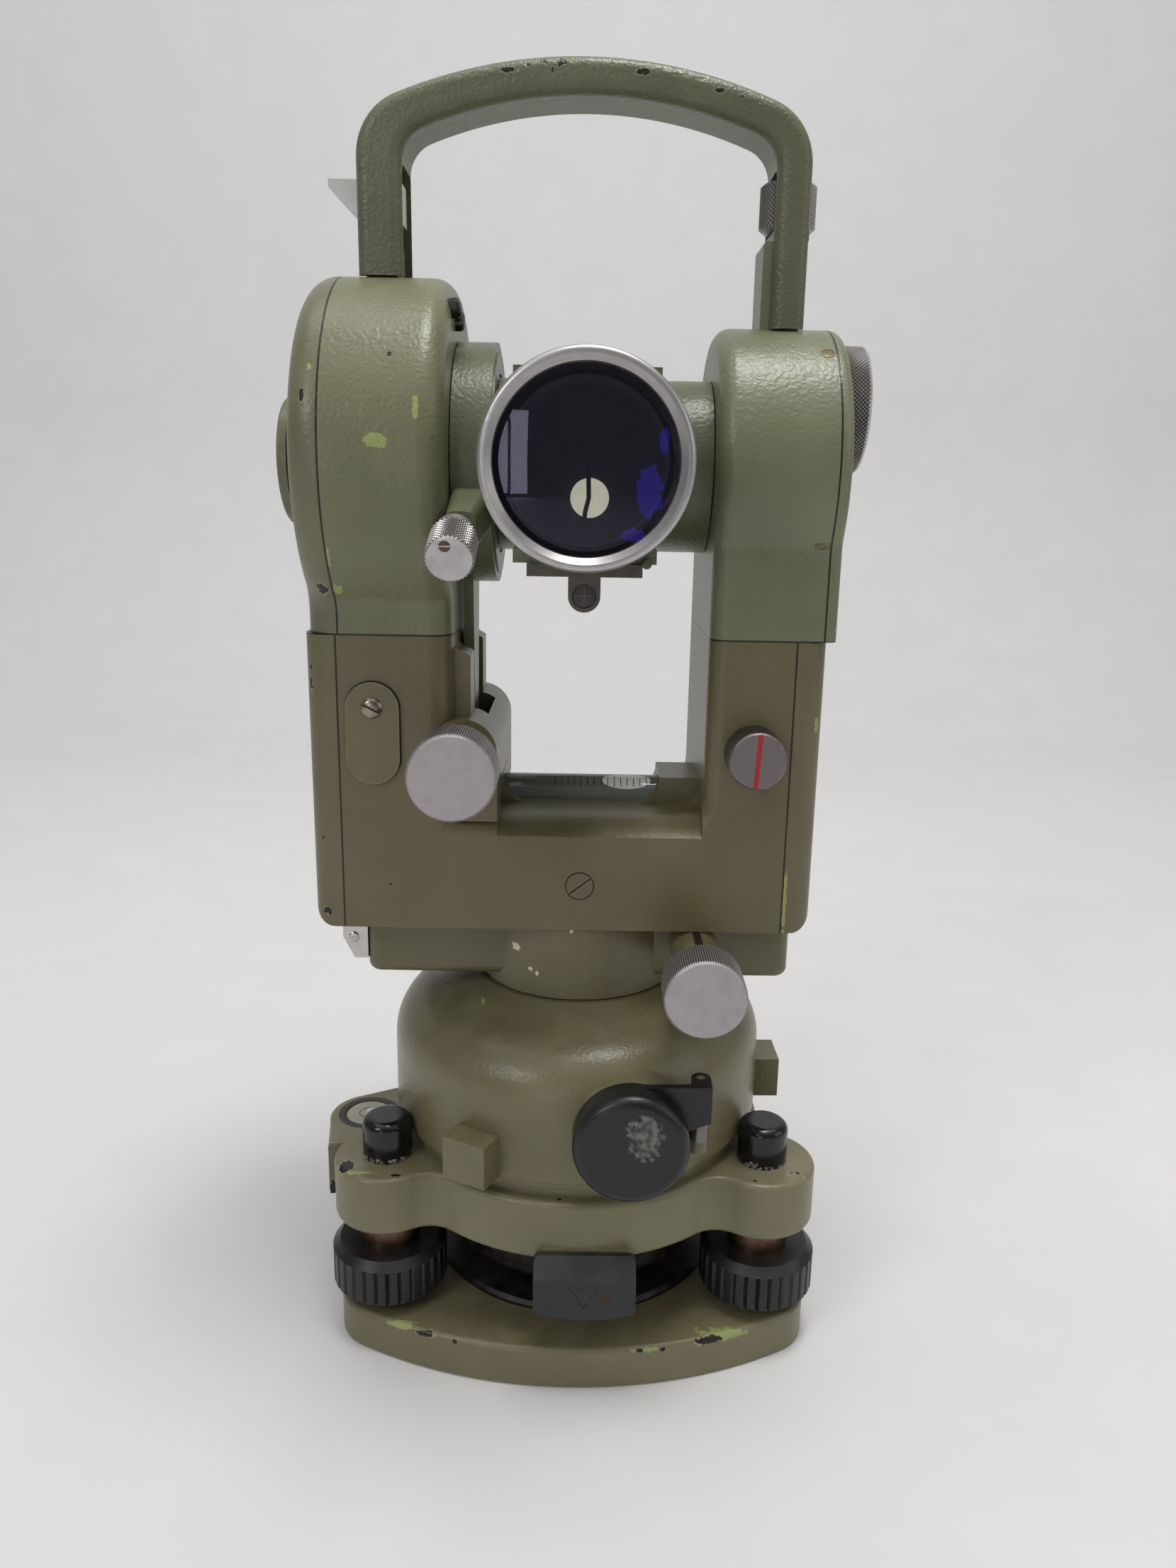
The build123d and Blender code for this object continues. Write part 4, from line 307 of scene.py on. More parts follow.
class EffectShelf:
    """The surface effects that several finishes share, each a node group built once.

    Rates are in turns per millimetre of surface.
    """

    PEBBLE_SMOOTHNESS = 0.8
    PEBBLE_SHARE = -0.45
    MOTTLE_RATE = 0.045
    FINE_RATE = 0.6
    EDGE_RANGE = (0.03, 0.22)
    EDGE_BREAKS = 0.55
    EDGE_SOFTNESS = 0.05
    CHIP_RATE = 0.75
    PRIMER_RANGE = (1.04, 0.96)
    METAL_RANGE = (0.9, 0.82)
    STAIN_RATE = 0.3
    DUST_RATE = 0.12
    DUST_RANGE = (0.35, 0.75)
    SPECK_RATE = 0.35
    SPECK_RANGE = (0.07, 0.045)

    def __init__(self) -> None:
        """Builds every group."""
        self.stipple = self._stipple()
        self.edge_wear = self._edge_wear()
        self.chip = self._chip()
        self.turning = self._turning()
        self.dust = self._dust()

    @staticmethod
    def _open(
        name: str, inputs: Iterable[tuple[str, str, object]], outputs: Iterable[str]
    ) -> tuple[Tree, dict, Node]:
        """Starts a group.

        Args:
            name: The group's name.
            inputs: Name, socket type and default of each input.
            outputs: Names of its value outputs.

        Returns:
            The tree, its inputs by name, and its output node.
        """
        group = bpy.data.node_groups.new(name, "ShaderNodeTree")
        for label, kind, default in inputs:
            socket = group.interface.new_socket(name=label, in_out="INPUT", socket_type=kind)
            socket.default_value = default
        for label in outputs:
            group.interface.new_socket(name=label, in_out="OUTPUT", socket_type="NodeSocketFloat")
        tree = Tree(group)
        entry = tree.add("NodeGroupInput")
        return tree, {socket.name: socket for socket in entry.outputs}, tree.add("NodeGroupOutput")

    def _stipple(self) -> NodeTree:
        """Orange-peel relief of sprayed enamel, and its slow colour mottling.

        Returns:
            The node group.
        """
        inputs = [("Pitch", "NodeSocketFloat", 1.2)]
        tree, given, leave = self._open("enamel_stipple", inputs, ["Height", "Mottle", "Fine"])
        where = tree.object_mm()
        rate = tree.math("DIVIDE", 1.0, given["Pitch"])
        coarse = tree.noise(where, rate, 3.0, 0.35)
        pebble = tree.add("ShaderNodeTexVoronoi", feature="SMOOTH_F1")
        tree.feed(pebble.inputs["Vector"], where)
        tree.feed(pebble.inputs["Scale"], rate)
        tree.feed(pebble.inputs["Smoothness"], self.PEBBLE_SMOOTHNESS)
        height = tree.math("MULTIPLY_ADD", pebble.outputs["Distance"], self.PEBBLE_SHARE, coarse)
        tree.feed(leave.inputs["Height"], height)
        tree.feed(leave.inputs["Mottle"], tree.noise(where, self.MOTTLE_RATE, 2.0))
        tree.feed(leave.inputs["Fine"], tree.noise(where, self.FINE_RATE, 4.0))
        return tree.tree

    def _edge_wear(self) -> NodeTree:
        """Broken rubbing along edges.

        Returns:
            The node group.
        """
        inputs = [
            ("Radius", "NodeSocketFloat", 0.6), ("Amount", "NodeSocketFloat", 1.0),
            ("Cover", "NodeSocketFloat", 0.5),
        ]
        tree, given, leave = self._open("edge_wear", inputs, ["Mask"])
        bevel = tree.add("ShaderNodeBevel", samples=4)
        tree.feed(bevel.inputs["Radius"], tree.math("MULTIPLY", given["Radius"], MM))
        plain = tree.add("ShaderNodeNewGeometry").outputs["Normal"]
        dot = tree.vector("DOT_PRODUCT", bevel.outputs[0], plain).outputs["Value"]
        edge = tree.ramp(tree.math("SUBTRACT", 1.0, dot), *self.EDGE_RANGE)
        broken = tree.noise(tree.object_mm(), self.EDGE_BREAKS, 5.0, 0.6)
        gate = tree.ramp(tree.math("SUBTRACT", broken, given["Cover"]), 0.0, self.EDGE_SOFTNESS)
        mask = tree.math("MULTIPLY", tree.math("MULTIPLY", edge, gate), given["Amount"], clamp=True)
        tree.feed(leave.inputs["Mask"], mask)
        return tree.tree

    def _chip(self) -> NodeTree:
        """One ragged mark at a point: its rim of primer and its bare middle.

        Returns:
            The node group.
        """
        inputs = [
            ("Centre", "NodeSocketVector", (0.0, 0.0, 0.0)),
            ("Radii", "NodeSocketVector", (1.0, 1.0, 1.0)),
            ("Ragged", "NodeSocketFloat", 0.6),
            ("Bare", "NodeSocketFloat", 1.0),
        ]
        tree, given, leave = self._open("chip_mark", inputs, ["Primer", "Metal"])
        where = tree.object_mm()
        away = tree.vector("SUBTRACT", where, given["Centre"]).outputs[0]
        share = tree.vector("DIVIDE", away, given["Radii"]).outputs[0]
        reach = tree.vector("LENGTH", share).outputs["Value"]
        ragged = tree.math("SUBTRACT", tree.noise(where, self.CHIP_RATE, 4.0), 0.5)
        edge = tree.math("MULTIPLY_ADD", tree.math("MULTIPLY", ragged, given["Ragged"]), 4.0, reach)
        tree.feed(leave.inputs["Primer"], tree.ramp(edge, *self.PRIMER_RANGE))
        bare = tree.ramp(edge, *self.METAL_RANGE)
        tree.feed(leave.inputs["Metal"], tree.math("MULTIPLY", bare, given["Bare"]))
        return tree.tree

    def _turning(self) -> NodeTree:
        """Fine lines left by a lathe round an axis.

        Returns:
            The node group.
        """
        inputs = [
            ("Centre", "NodeSocketVector", (0.0, 0.0, 0.0)),
            ("Along", "NodeSocketVector", (0.0, 0.0, 1.0)),
            ("Pitch", "NodeSocketFloat", 0.15),
        ]
        tree, given, leave = self._open("lathe_lines", inputs, ["Height", "Tone"])
        where = tree.object_mm()
        away = tree.vector("SUBTRACT", where, given["Centre"]).outputs[0]
        axial = tree.vector("DOT_PRODUCT", away, given["Along"]).outputs["Value"]
        crossed = tree.vector("CROSS_PRODUCT", away, given["Along"]).outputs[0]
        radial = tree.vector("LENGTH", crossed).outputs["Value"]
        pair = tree.add("ShaderNodeCombineXYZ")
        tree.feed(pair.inputs[0], radial)
        tree.feed(pair.inputs[1], axial)
        rate = tree.math("DIVIDE", 1.0, given["Pitch"])
        tree.feed(leave.inputs["Height"], tree.noise(pair.outputs[0], rate, 2.0))
        tree.feed(leave.inputs["Tone"], tree.noise(where, self.STAIN_RATE, 3.0))
        return tree.tree

    def _dust(self) -> NodeTree:
        """Thin dust on faces that look up, with scattered specks.

        Returns:
            The node group.
        """
        inputs = [("Amount", "NodeSocketFloat", 0.3)]
        tree, given, leave = self._open("dust_film", inputs, ["Mask", "Specks"])
        where = tree.object_mm()
        normal = tree.add("ShaderNodeSeparateXYZ")
        tree.feed(normal.inputs[0], tree.add("ShaderNodeNewGeometry").outputs["Normal"])
        upward = tree.ramp(normal.outputs[2], 0.2, 1.0)
        patchy = tree.ramp(tree.noise(where, self.DUST_RATE, 4.0), *self.DUST_RANGE)
        film = tree.math("MULTIPLY", upward, patchy)
        tree.feed(leave.inputs["Mask"], tree.math("MULTIPLY", film, given["Amount"]))
        specks = tree.add("ShaderNodeTexVoronoi", feature="F1")
        tree.feed(specks.inputs["Vector"], where)
        tree.feed(specks.inputs["Scale"], self.SPECK_RATE)
        tree.feed(leave.inputs["Specks"], tree.ramp(specks.outputs["Distance"], *self.SPECK_RANGE))
        return tree.tree


# Finishes


@dataclass(frozen=True)
class Chip:
    """A mark in the enamel at a point of the object, in millimetres."""

    centre: Triple
    radii: Triple
    wear: Wear = Wear.METAL
    ragged: float = 0.5


@dataclass(frozen=True)
class Enamel:
    """Stippled semi-gloss enamel over a yellow-green primer."""

    name: str
    colour: Triple
    shade: Triple
    chips: tuple[Chip, ...] = ()
    pitch: float = 1.15
    relief: float = 0.075
    edges: float = 0.6
    edge_cover: float = 0.56
    roughness: float = 0.33
    dust: float = 0.12
    primer: Triple = (150.0, 158.0, 96.0)
    bare: Triple = (48.0, 45.0, 40.0)
    rubbed: Triple = (150.0, 148.0, 110.0)
    rim: Triple = (158.0, 154.0, 118.0)
    seams: tuple[tuple[Axis, float], ...] = ()
    seam_half: float = 0.26

    def _seam_mask(self, tree: Tree) -> object:
        """Dark joints in planes across an axis, each at a level in millimetres.

        Args:
            tree: The shader tree.

        Returns:
            The mask, or 0 without joints.
        """
        mask: object = 0.0
        where = tree.object_mm() if self.seams else None
        for axis, level in self.seams:
            along = tree.vector("DOT_PRODUCT", where, axis.value).outputs["Value"]
            away = tree.math("ABSOLUTE", tree.math("SUBTRACT", along, level))
            mask = tree.math("MAXIMUM", mask, tree.ramp(away, self.seam_half, 0.6 * self.seam_half))
        return mask

    def build(self, effects: EffectShelf) -> Material:
        """Makes the material.

        Args:
            effects: The shared node groups.

        Returns:
            The material.
        """
        material, tree, shader = new_material(self.name)
        skin = use_group(tree, effects.stipple, Pitch=self.pitch)
        tone = tree.ramp(skin.outputs["Mottle"], 0.3, 0.7)
        colour = tree.mix(tone, srgb(*self.shade), srgb(*self.colour))
        fine = tree.ramp(skin.outputs["Fine"], 0.3, 0.7, 0.0, 0.16)
        colour = tree.mix(fine, colour, srgb(*(0.82 * value for value in self.colour)))
        film = use_group(tree, effects.dust, Amount=self.dust)
        colour = tree.mix(film.outputs["Mask"], colour, srgb(*DUST_ON_ENAMEL))
        wear = use_group(tree, effects.edge_wear, Radius=0.55, Amount=self.edges, Cover=self.edge_cover)
        colour = tree.mix(wear.outputs["Mask"], colour, srgb(*self.rubbed))
        primer: object = 0.0
        rim: object = 0.0
        metal: object = 0.0
        for chip in self.chips:
            mark = use_mark(tree, effects, chip, chip.wear.value)
            if chip.wear is Wear.METAL:
                rim = tree.math("MAXIMUM", rim, mark.outputs["Primer"])
                metal = tree.math("MAXIMUM", metal, mark.outputs["Metal"])
            else:
                primer = tree.math("MAXIMUM", primer, mark.outputs["Primer"])
        colour = tree.mix(primer, colour, srgb(*self.primer))
        colour = tree.mix(rim, colour, srgb(*self.rim))
        colour = tree.mix(metal, colour, srgb(*self.bare))
        joint = self._seam_mask(tree)
        colour = tree.mix(joint, colour, srgb(*JOINT_DARK))
        tree.feed(shader.inputs["Base Color"], colour)
        rough = tree.math("MULTIPLY_ADD", skin.outputs["Fine"], 0.12, self.roughness - 0.06)
        rough = tree.math("MULTIPLY_ADD", primer, 0.2, rough)
        tree.feed(shader.inputs["Roughness"], rough)
        tree.feed(shader.inputs["Metallic"], tree.math("MULTIPLY", metal, 0.5))
        height = tree.math("MULTIPLY", skin.outputs["Height"], self.relief)
        sunk = tree.math("MULTIPLY_ADD", tree.math("MAXIMUM", primer, rim), -0.06, height)
        sunk = tree.math("MULTIPLY_ADD", joint, -0.3, sunk)
        raise_surface(tree, shader, sunk)
        return material


@dataclass(frozen=True)
class Metal:
    """Bare or blackened metal with lathe lines and handling marks, and painted shade darkening its knurl
    grooves where groove is set.
    """

    name: str
    colour: Triple
    roughness: float = 0.4
    metallic: float = 1.0
    centre: Triple = (0.0, 0.0, 0.0)
    along: Triple = (0.0, 0.0, 1.0)
    pitch: float = 0.15
    lines: float = 0.004
    stain_and_groove_shade: Triple = (96.0, 88.0, 84.0)
    stains: float = 0.25
    edges: float = 0.0
    # groove turns on painted shade in the knurl grooves
    groove: bool = False
    dust: float = 0.0

    def build(self, effects: EffectShelf) -> Material:
        """Makes the material from the shared groups.

        Args:
            effects: The shared node groups.

        Returns:
            The material.
        """
        material, tree, shader = new_material(self.name)
        turned = use_group(tree, effects.turning, Centre=self.centre, Along=self.along, Pitch=self.pitch)
        tone = tree.ramp(turned.outputs["Tone"], 0.42, 0.72, 0.0, self.stains)
        colour = tree.mix(tone, srgb(*self.colour), srgb(*self.stain_and_groove_shade))
        # Painted shade: the knurl grooves (relief 0) are darkened towards a darker copy of the stain colour
        if self.groove:
            relief = tree.add("ShaderNodeAttribute", attribute_name="relief").outputs["Fac"]
            colour = tree.mix(
                tree.ramp(relief, 0.0, 0.7), srgb(*(0.8 * value for value in self.stain_and_groove_shade)), colour
            )
        if self.edges:
            wear = use_group(tree, effects.edge_wear, Radius=0.4, Amount=self.edges, Cover=0.5)
            colour = tree.mix(wear.outputs["Mask"], colour, srgb(*RUBBED_METAL))
        if self.dust:
            film = use_group(tree, effects.dust, Amount=self.dust)
            colour = tree.mix(film.outputs["Mask"], colour, srgb(*DUST_ON_METAL))
        tree.feed(shader.inputs["Base Color"], colour)
        shader.inputs["Metallic"].default_value = self.metallic
        tree.feed(
            shader.inputs["Roughness"],
            tree.math("MULTIPLY_ADD", turned.outputs["Tone"], 0.14, self.roughness - 0.07),
        )
        raise_surface(tree, shader, tree.math("MULTIPLY", turned.outputs["Height"], self.lines))
        return material


@dataclass(frozen=True)
class Plastic:
    """Moulded black plastic, dusty and rubbed grey on its edges."""

    name: str
    colour: Triple = (27.0, 28.0, 30.0)
    roughness: float = 0.34
    edges: float = 0.25
    dust: float = 0.1
    relief: float = 0.012
    worn: tuple[Chip, ...] = ()
    worn_colour: Triple = (112.0, 112.0, 108.0)

    def build(self, effects: EffectShelf) -> Material:
        """Makes the material from the shared groups.

        Args:
            effects: The shared node groups.

        Returns:
            The material.
        """
        material, tree, shader = new_material(self.name)
        skin = use_group(tree, effects.stipple, Pitch=0.5)
        film = use_group(tree, effects.dust, Amount=self.dust)
        wear = use_group(tree, effects.edge_wear, Radius=0.4, Amount=self.edges, Cover=0.52)
        colour = tree.mix(
            skin.outputs["Mottle"], srgb(*self.colour), srgb(*(1.25 * value for value in self.colour))
        )
        colour = tree.mix(film.outputs["Mask"], colour, srgb(*DUST_ON_PLASTIC))
        colour = tree.mix(wear.outputs["Mask"], colour, srgb(*RUBBED_PLASTIC))
        worn = spread(tree, effects, self.worn)
        grain = tree.ramp(skin.outputs["Fine"], 0.38, 0.62)
        scuffed = tree.mix(
            grain, srgb(*(0.45 * value for value in self.worn_colour)), srgb(*self.worn_colour)
        )
        colour = tree.mix(worn, colour, scuffed)
        tree.feed(shader.inputs["Base Color"], colour)
        rough = tree.math("MULTIPLY_ADD", film.outputs["Mask"], 0.4, self.roughness)
        tree.feed(shader.inputs["Roughness"], tree.math("MULTIPLY_ADD", worn, 0.3, rough))
        height = tree.math("MULTIPLY", skin.outputs["Height"], self.relief)
        height = tree.math("MULTIPLY_ADD", tree.math("MULTIPLY", worn, skin.outputs["Fine"]), 0.5, height)
        raise_surface(tree, shader, height)
        return material


@dataclass(frozen=True)
class Glass:
    """Clear or coated glass with a faint film of dust."""

    name: str
    colour: Triple
    transmission: float = 1.0
    roughness: float = 0.03
    sheen_tint: Triple = (255.0, 255.0, 255.0)
    dust: float = 0.03
    flares: tuple[Chip, ...] = ()
    flare_colour: Triple = (58.0, 44.0, 196.0)

    def build(self, effects: EffectShelf) -> Material:
        """Makes the material from the shared groups.

        Args:
            effects: The shared node groups.

        Returns:
            The material.
        """
        material, tree, shader = new_material(self.name)
        film = use_group(tree, effects.dust, Amount=self.dust)
        tree.feed(
            shader.inputs["Base Color"],
            tree.mix(film.outputs["Specks"], srgb(*self.colour), srgb(120, 120, 120)),
        )
        tree.feed(
            shader.inputs["Roughness"], tree.math("MULTIPLY_ADD", film.outputs["Mask"], 0.3, self.roughness)
        )
        shader.inputs["Transmission Weight"].default_value = self.transmission
        shader.inputs["IOR"].default_value = 1.5
        shader.inputs["Specular Tint"].default_value = srgb(*self.sheen_tint)
        flare = spread(tree, effects, self.flares)
        if self.flares:
            tree.feed(
                shader.inputs["Emission Color"], tree.mix(flare, srgb(*UNLIT), srgb(*self.flare_colour))
            )
            shader.inputs["Emission Strength"].default_value = 0.16
        return material


@dataclass(frozen=True)
class Glow:
    """Daylight that comes through the tube from its far end."""

    name: str
    colour: Triple
    strength: float

    def build(self, effects: EffectShelf) -> Material:
        """Makes the material from the shared groups.

        Args:
            effects: The shared node groups.

        Returns:
            The material.
        """
        material, tree, shader = new_material(self.name)
        skin = use_group(tree, effects.stipple, Pitch=2.5)
        colour = tree.mix(
            skin.outputs["Fine"], srgb(*self.colour), srgb(*(0.9 * value for value in self.colour))
        )
        tree.feed(shader.inputs["Base Color"], colour)
        tree.feed(shader.inputs["Emission Color"], colour)
        shader.inputs["Emission Strength"].default_value = self.strength
        return material


def new_material(name: str) -> tuple[Material, Tree, Node]:
    """A new material with its tree and its Principled BSDF.

    Args:
        name: Its name.

    Returns:
        The material, its tree and its shader.
    """
    material = bpy.data.materials.new(name)
    material.use_nodes = True
    tree = Tree(material.node_tree)
    return material, tree, material.node_tree.nodes["Principled BSDF"]


def use_group(tree: Tree, group: NodeTree, **values: object) -> Node:
    """Places a node group in a tree and sets its inputs.

    Args:
        tree: The tree that it goes into.
        group: The node group.
        values: Values or sockets for its inputs, by name.

    Returns:
        The group's node.
    """
    node = tree.add("ShaderNodeGroup", node_tree=group)
    for name, value in values.items():
        tree.feed(node.inputs[name], value)
    return node


def use_mark(tree: Tree, effects: EffectShelf, chip: Chip, bare: float = 1.0) -> Node:
    """Places the group of one mark in a tree.

    Args:
        tree: The shader tree.
        effects: The shared node groups.
        chip: The mark.
        bare: 1 where its middle is bare metal, 0 where it is primer.

    Returns:
        The group's node.
    """
    sizes = {"Centre": chip.centre, "Radii": chip.radii, "Ragged": chip.ragged}
    return use_group(tree, effects.chip, Bare=bare, **sizes)


def spread(tree: Tree, effects: EffectShelf, chips: Iterable[Chip]) -> object:
    """The mask that covers several marks.

    Args:
        tree: The shader tree.
        effects: The shared node groups.
        chips: The marks.

    Returns:
        The mask, or 0 without marks.
    """
    mask: object = 0.0
    for chip in chips:
        mask = tree.math("MAXIMUM", mask, use_mark(tree, effects, chip).outputs["Primer"])
    return mask


def raise_surface(tree: Tree, shader: Node, height: Socket) -> None:
    """Feeds a height in millimetres to the shader's normal.

    Args:
        tree: The shader tree.
        shader: Its Principled BSDF.
        height: Height over the surface in millimetres.
    """
    bump = tree.add("ShaderNodeBump")
    bump.inputs["Strength"].default_value = 1.0
    bump.inputs["Distance"].default_value = MM
    tree.feed(bump.inputs["Height"], height)
    tree.feed(shader.inputs["Normal"], bump.outputs[0])


# Mesh work


class Shaper:
    """Builds one mesh in its own millimetres and places it on the object."""

    def __init__(self) -> None:
        """Starts an empty mesh with a layer for knurling relief."""
        self.mesh = bmesh.new()
        self.relief = self.mesh.verts.layers.float.new("relief")

    def spot(self, place: Matrix, reach: float, angle: float, height: float, relief: float = 1.0) -> Vert:
        """Adds one point of a turned form.

        Args:
            place: Matrix to the shared frame.
            reach: Distance from the local axis.
            angle: Angle round it in radians.
            height: Height along it.
            relief: 1 on top of a knurl, 0 in its groove.

        Returns:
            The new vertex.
        """
        point = Vector((reach * math.cos(angle), reach * math.sin(angle), height))
        vert = self.mesh.verts.new(place @ point)
        vert[self.relief] = relief
        return vert

    def ring(self, place: Matrix, height: float, radius: float, count: int) -> list[Vert]:
        """A ring of points round the local axis.

        Args:
            place: Matrix to the shared frame.
            height: Height along the axis.
            radius: Radius.
            count: Number of points.

        Returns:
            The new vertices.
        """
        return [self.spot(place, radius, angle, height) for angle in steps(count)]

    def bridge(self, low: Sequence[Vert], high: Sequence[Vert]) -> None:
        """Joins two rings with quads.

        Args:
            low: The lower ring.
            high: The upper ring.
        """
        count = len(low)
        for step in range(count):
            after = (step + 1) % count
            self.mesh.faces.new((low[step], low[after], high[after], high[step]))

    def turned(self, place: Matrix, profile: Profile, count: int = 48, closed: bool = False) -> None:
        """A turned form.

        Args:
            place: Matrix to the shared frame.
            profile: Height and radius of each ring, from below upwards along the outside.
            count: Points round the axis.
            closed: Joins the last ring to the first, as in a tube. Otherwise both ends are capped.
        """
        rings = [self.ring(place, height, radius, count) for height, radius in profile]
        for low, high in zip(rings, rings[1:]):
            self.bridge(low, high)
        if closed:
            self.bridge(rings[-1], rings[0])
        else:
            self.mesh.faces.new(list(reversed(rings[0])))
            self.mesh.faces.new(rings[-1])

    def knurled(
        self, place: Matrix, radius: float, depth: float, low: float, high: float, around: int, rows: int
    ) -> tuple[list, list]:
        """A band of diamond knurling.

        Args:
            place: Matrix to the shared frame.
            radius: Radius over the points.
            depth: Depth of the grooves.
            low: Height where the band starts.
            high: Height where it ends.
            around: Diamonds round the band.
            rows: Diamonds along the axis.

        Returns:
            The first and the last ring.
        """
        rings = []
        for row in range(2 * rows + 1):
            height = low + (high - low) * row / (2 * rows)
            ring = []
            for step in range(2 * around):
                angle = math.pi * step / around
                top = (row + step) % 2 == 1
                reach = radius if top else radius - depth
                ring.append(self.spot(place, reach, angle, height, 1.0 if top else 0.0))
            rings.append(ring)
        for row, (lower, upper) in enumerate(zip(rings, rings[1:])):
            for step in range(2 * around):
                after = (step + 1) % (2 * around)
                if (row + step) % 2 == 0:
                    self.mesh.faces.new((lower[step], lower[after], upper[after]))
                    self.mesh.faces.new((lower[step], upper[after], upper[step]))
                else:
                    self.mesh.faces.new((lower[step], lower[after], upper[step]))
                    self.mesh.faces.new((lower[after], upper[after], upper[step]))
        return rings[0], rings[-1]

    def ribbed(
        self, place: Matrix, radius: float, depth: float, low: float, high: float, ribs: int
    ) -> tuple[list, list]:
        """A band of straight fine ribs.

        Args:
            place: Matrix to the shared frame.
            radius: Radius over the ribs.
            depth: Depth between them.
            low: Height where the band starts.
            high: Height where it ends.
            ribs: Number of ribs.

        Returns:
            The first and the last ring.
        """
        ends = []
        for height in (low, high):
            ring = []
            for step in range(4 * ribs):
                angle = math.pi * step / (2 * ribs)
                top = step % 4 < 2
                reach = radius if top else radius - depth
                ring.append(self.spot(place, reach, angle, height, 1.0 if top else 0.0))
            ends.append(ring)
        self.bridge(ends[0], ends[1])
        return ends[0], ends[1]

    def finish_band(self, place: Matrix, band: tuple[list, list], below: Profile, above: Profile) -> None:
        """Carries a grooved band on to plain rings and caps both ends.

        Args:
            place: Matrix to the shared frame.
            band: The first and the last ring of the band.
            below: Height and radius of the rings below the band, nearest first.
            above: The same for the rings above it.
        """
        count = len(band[0])
        last = band[1]
        for height, radius in above:
            ring = self.ring(place, height, radius, count)
            self.bridge(last, ring)
            last = ring
        self.mesh.faces.new(last)
        last = band[0]
        for height, radius in below:
            ring = self.ring(place, height, radius, count)
            self.bridge(ring, last)
            last = ring
        self.mesh.faces.new(list(reversed(last)))

    def slotted_head(
        self, place: Matrix, profile: Profile, slot: float, floor: float, count: int = 16
    ) -> None:
        """A screw head with a straight slot across it.

        Args:
            place: Matrix to the shared frame.
            profile: Height and radius of the head from its foot upwards.
            slot: Width of the slot.
            floor: Height of the slot's floor.
            count: Points along each half.
        """
        half = slot / 2.0
        foot = profile[0]
        for side in (1.0, -1.0):
            rings = []
            for height, radius in profile:
                start = math.asin(min(half / radius, SLOT_LIMIT))
                ring = []
                for step in range(count + 1):
                    angle = start + (math.pi - 2.0 * start) * step / count
                    point = Vector((radius * math.cos(angle) * side, radius * math.sin(angle) * side, height))
                    ring.append(self.mesh.verts.new(place @ point))
                rings.append(ring)
            for low, high in zip(rings, rings[1:]):
                for step in range(count):
                    self.mesh.faces.new((low[step], low[step + 1], high[step + 1], high[step]))
            self.mesh.faces.new(rings[-1])
            wall = [ring[0] for ring in rings] + [ring[-1] for ring in reversed(rings)]
            self.mesh.faces.new(wall)
        reach = math.sqrt(foot[1] ** 2 - half**2)
        corners = [(reach, half), (-reach, half), (-reach, -half), (reach, -half)]
        self.mesh.faces.new([self.mesh.verts.new(place @ Vector((x, y, floor))) for x, y in corners])

    def tube(self, points: Sequence[Vector], radius: float, closed: bool = False, count: int = 8) -> None:
        """A round wire through points in metres.

        Args:
            points: The points of its centre line.
            radius: Its radius in metres.
            closed: Joins the end to the start.
            count: Points round the wire.
        """
        rings = []
        side = None
        total = len(points)
        for index, point in enumerate(points):
            before = points[index - 1] if index or closed else point
            after = points[(index + 1) % total] if index + 1 < total or closed else point
            along = (after - before).normalized()
            if side is None:
                side = along.orthogonal().normalized()
            else:
                side = (side - along * side.dot(along)).normalized()
            lift = along.cross(side)
            ring = []
            for step in range(count):
                angle = 2.0 * math.pi * step / count
                away = math.cos(angle) * side + math.sin(angle) * lift
                ring.append(self.mesh.verts.new(point + radius * away))
            rings.append(ring)
        pairs = list(zip(rings, rings[1:])) + ([(rings[-1], rings[0])] if closed else [])
        for low, high in pairs:
            self.bridge(low, high)
        if not closed:
            self.mesh.faces.new(list(reversed(rings[0])))
            self.mesh.faces.new(rings[-1])

    def patch(self, at: Callable[[float, float], Vector], across: int, along: int) -> None:
        """A thin sheet given by a function of two shares from 0 to 1.

        Args:
            at: Gives a point in metres for its two shares.
            across: Faces along the first share.
            along: Faces along the second share.
        """
        grid = []
        for i in range(across + 1):
            grid.append([self.mesh.verts.new(at(i / across, j / along)) for j in range(along + 1)])
        for i in range(across):
            for j in range(along):
                self.mesh.faces.new((grid[i][j], grid[i + 1][j], grid[i + 1][j + 1], grid[i][j + 1]))

    def piece(
        self, name: str, body: str, material: Material, sharp: float = 32.0
    ) -> bpy.types.Object:
        """Ends the mesh and hangs it on a body.

        Args:
            name: The piece's name.
            body: The body that it rides on.
            material: Its material.
            sharp: Angle in degrees above which an edge stays sharp.

        Returns:
            The object.
        """
        bmesh.ops.recalc_face_normals(self.mesh, faces=self.mesh.faces)
        data = bpy.data.meshes.new(name)
        self.mesh.to_mesh(data)
        self.mesh.free()
        data.polygons.foreach_set("use_smooth", [True] * len(data.polygons))
        data.set_sharp_from_angle(angle=math.radians(sharp))
        data.materials.append(material)
        made = bpy.data.objects.new(name, data)
        bpy.context.scene.collection.objects.link(made)
        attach(made, body)
        log.info("%s rides on %s: %d faces", name, body, len(data.polygons))
        return made


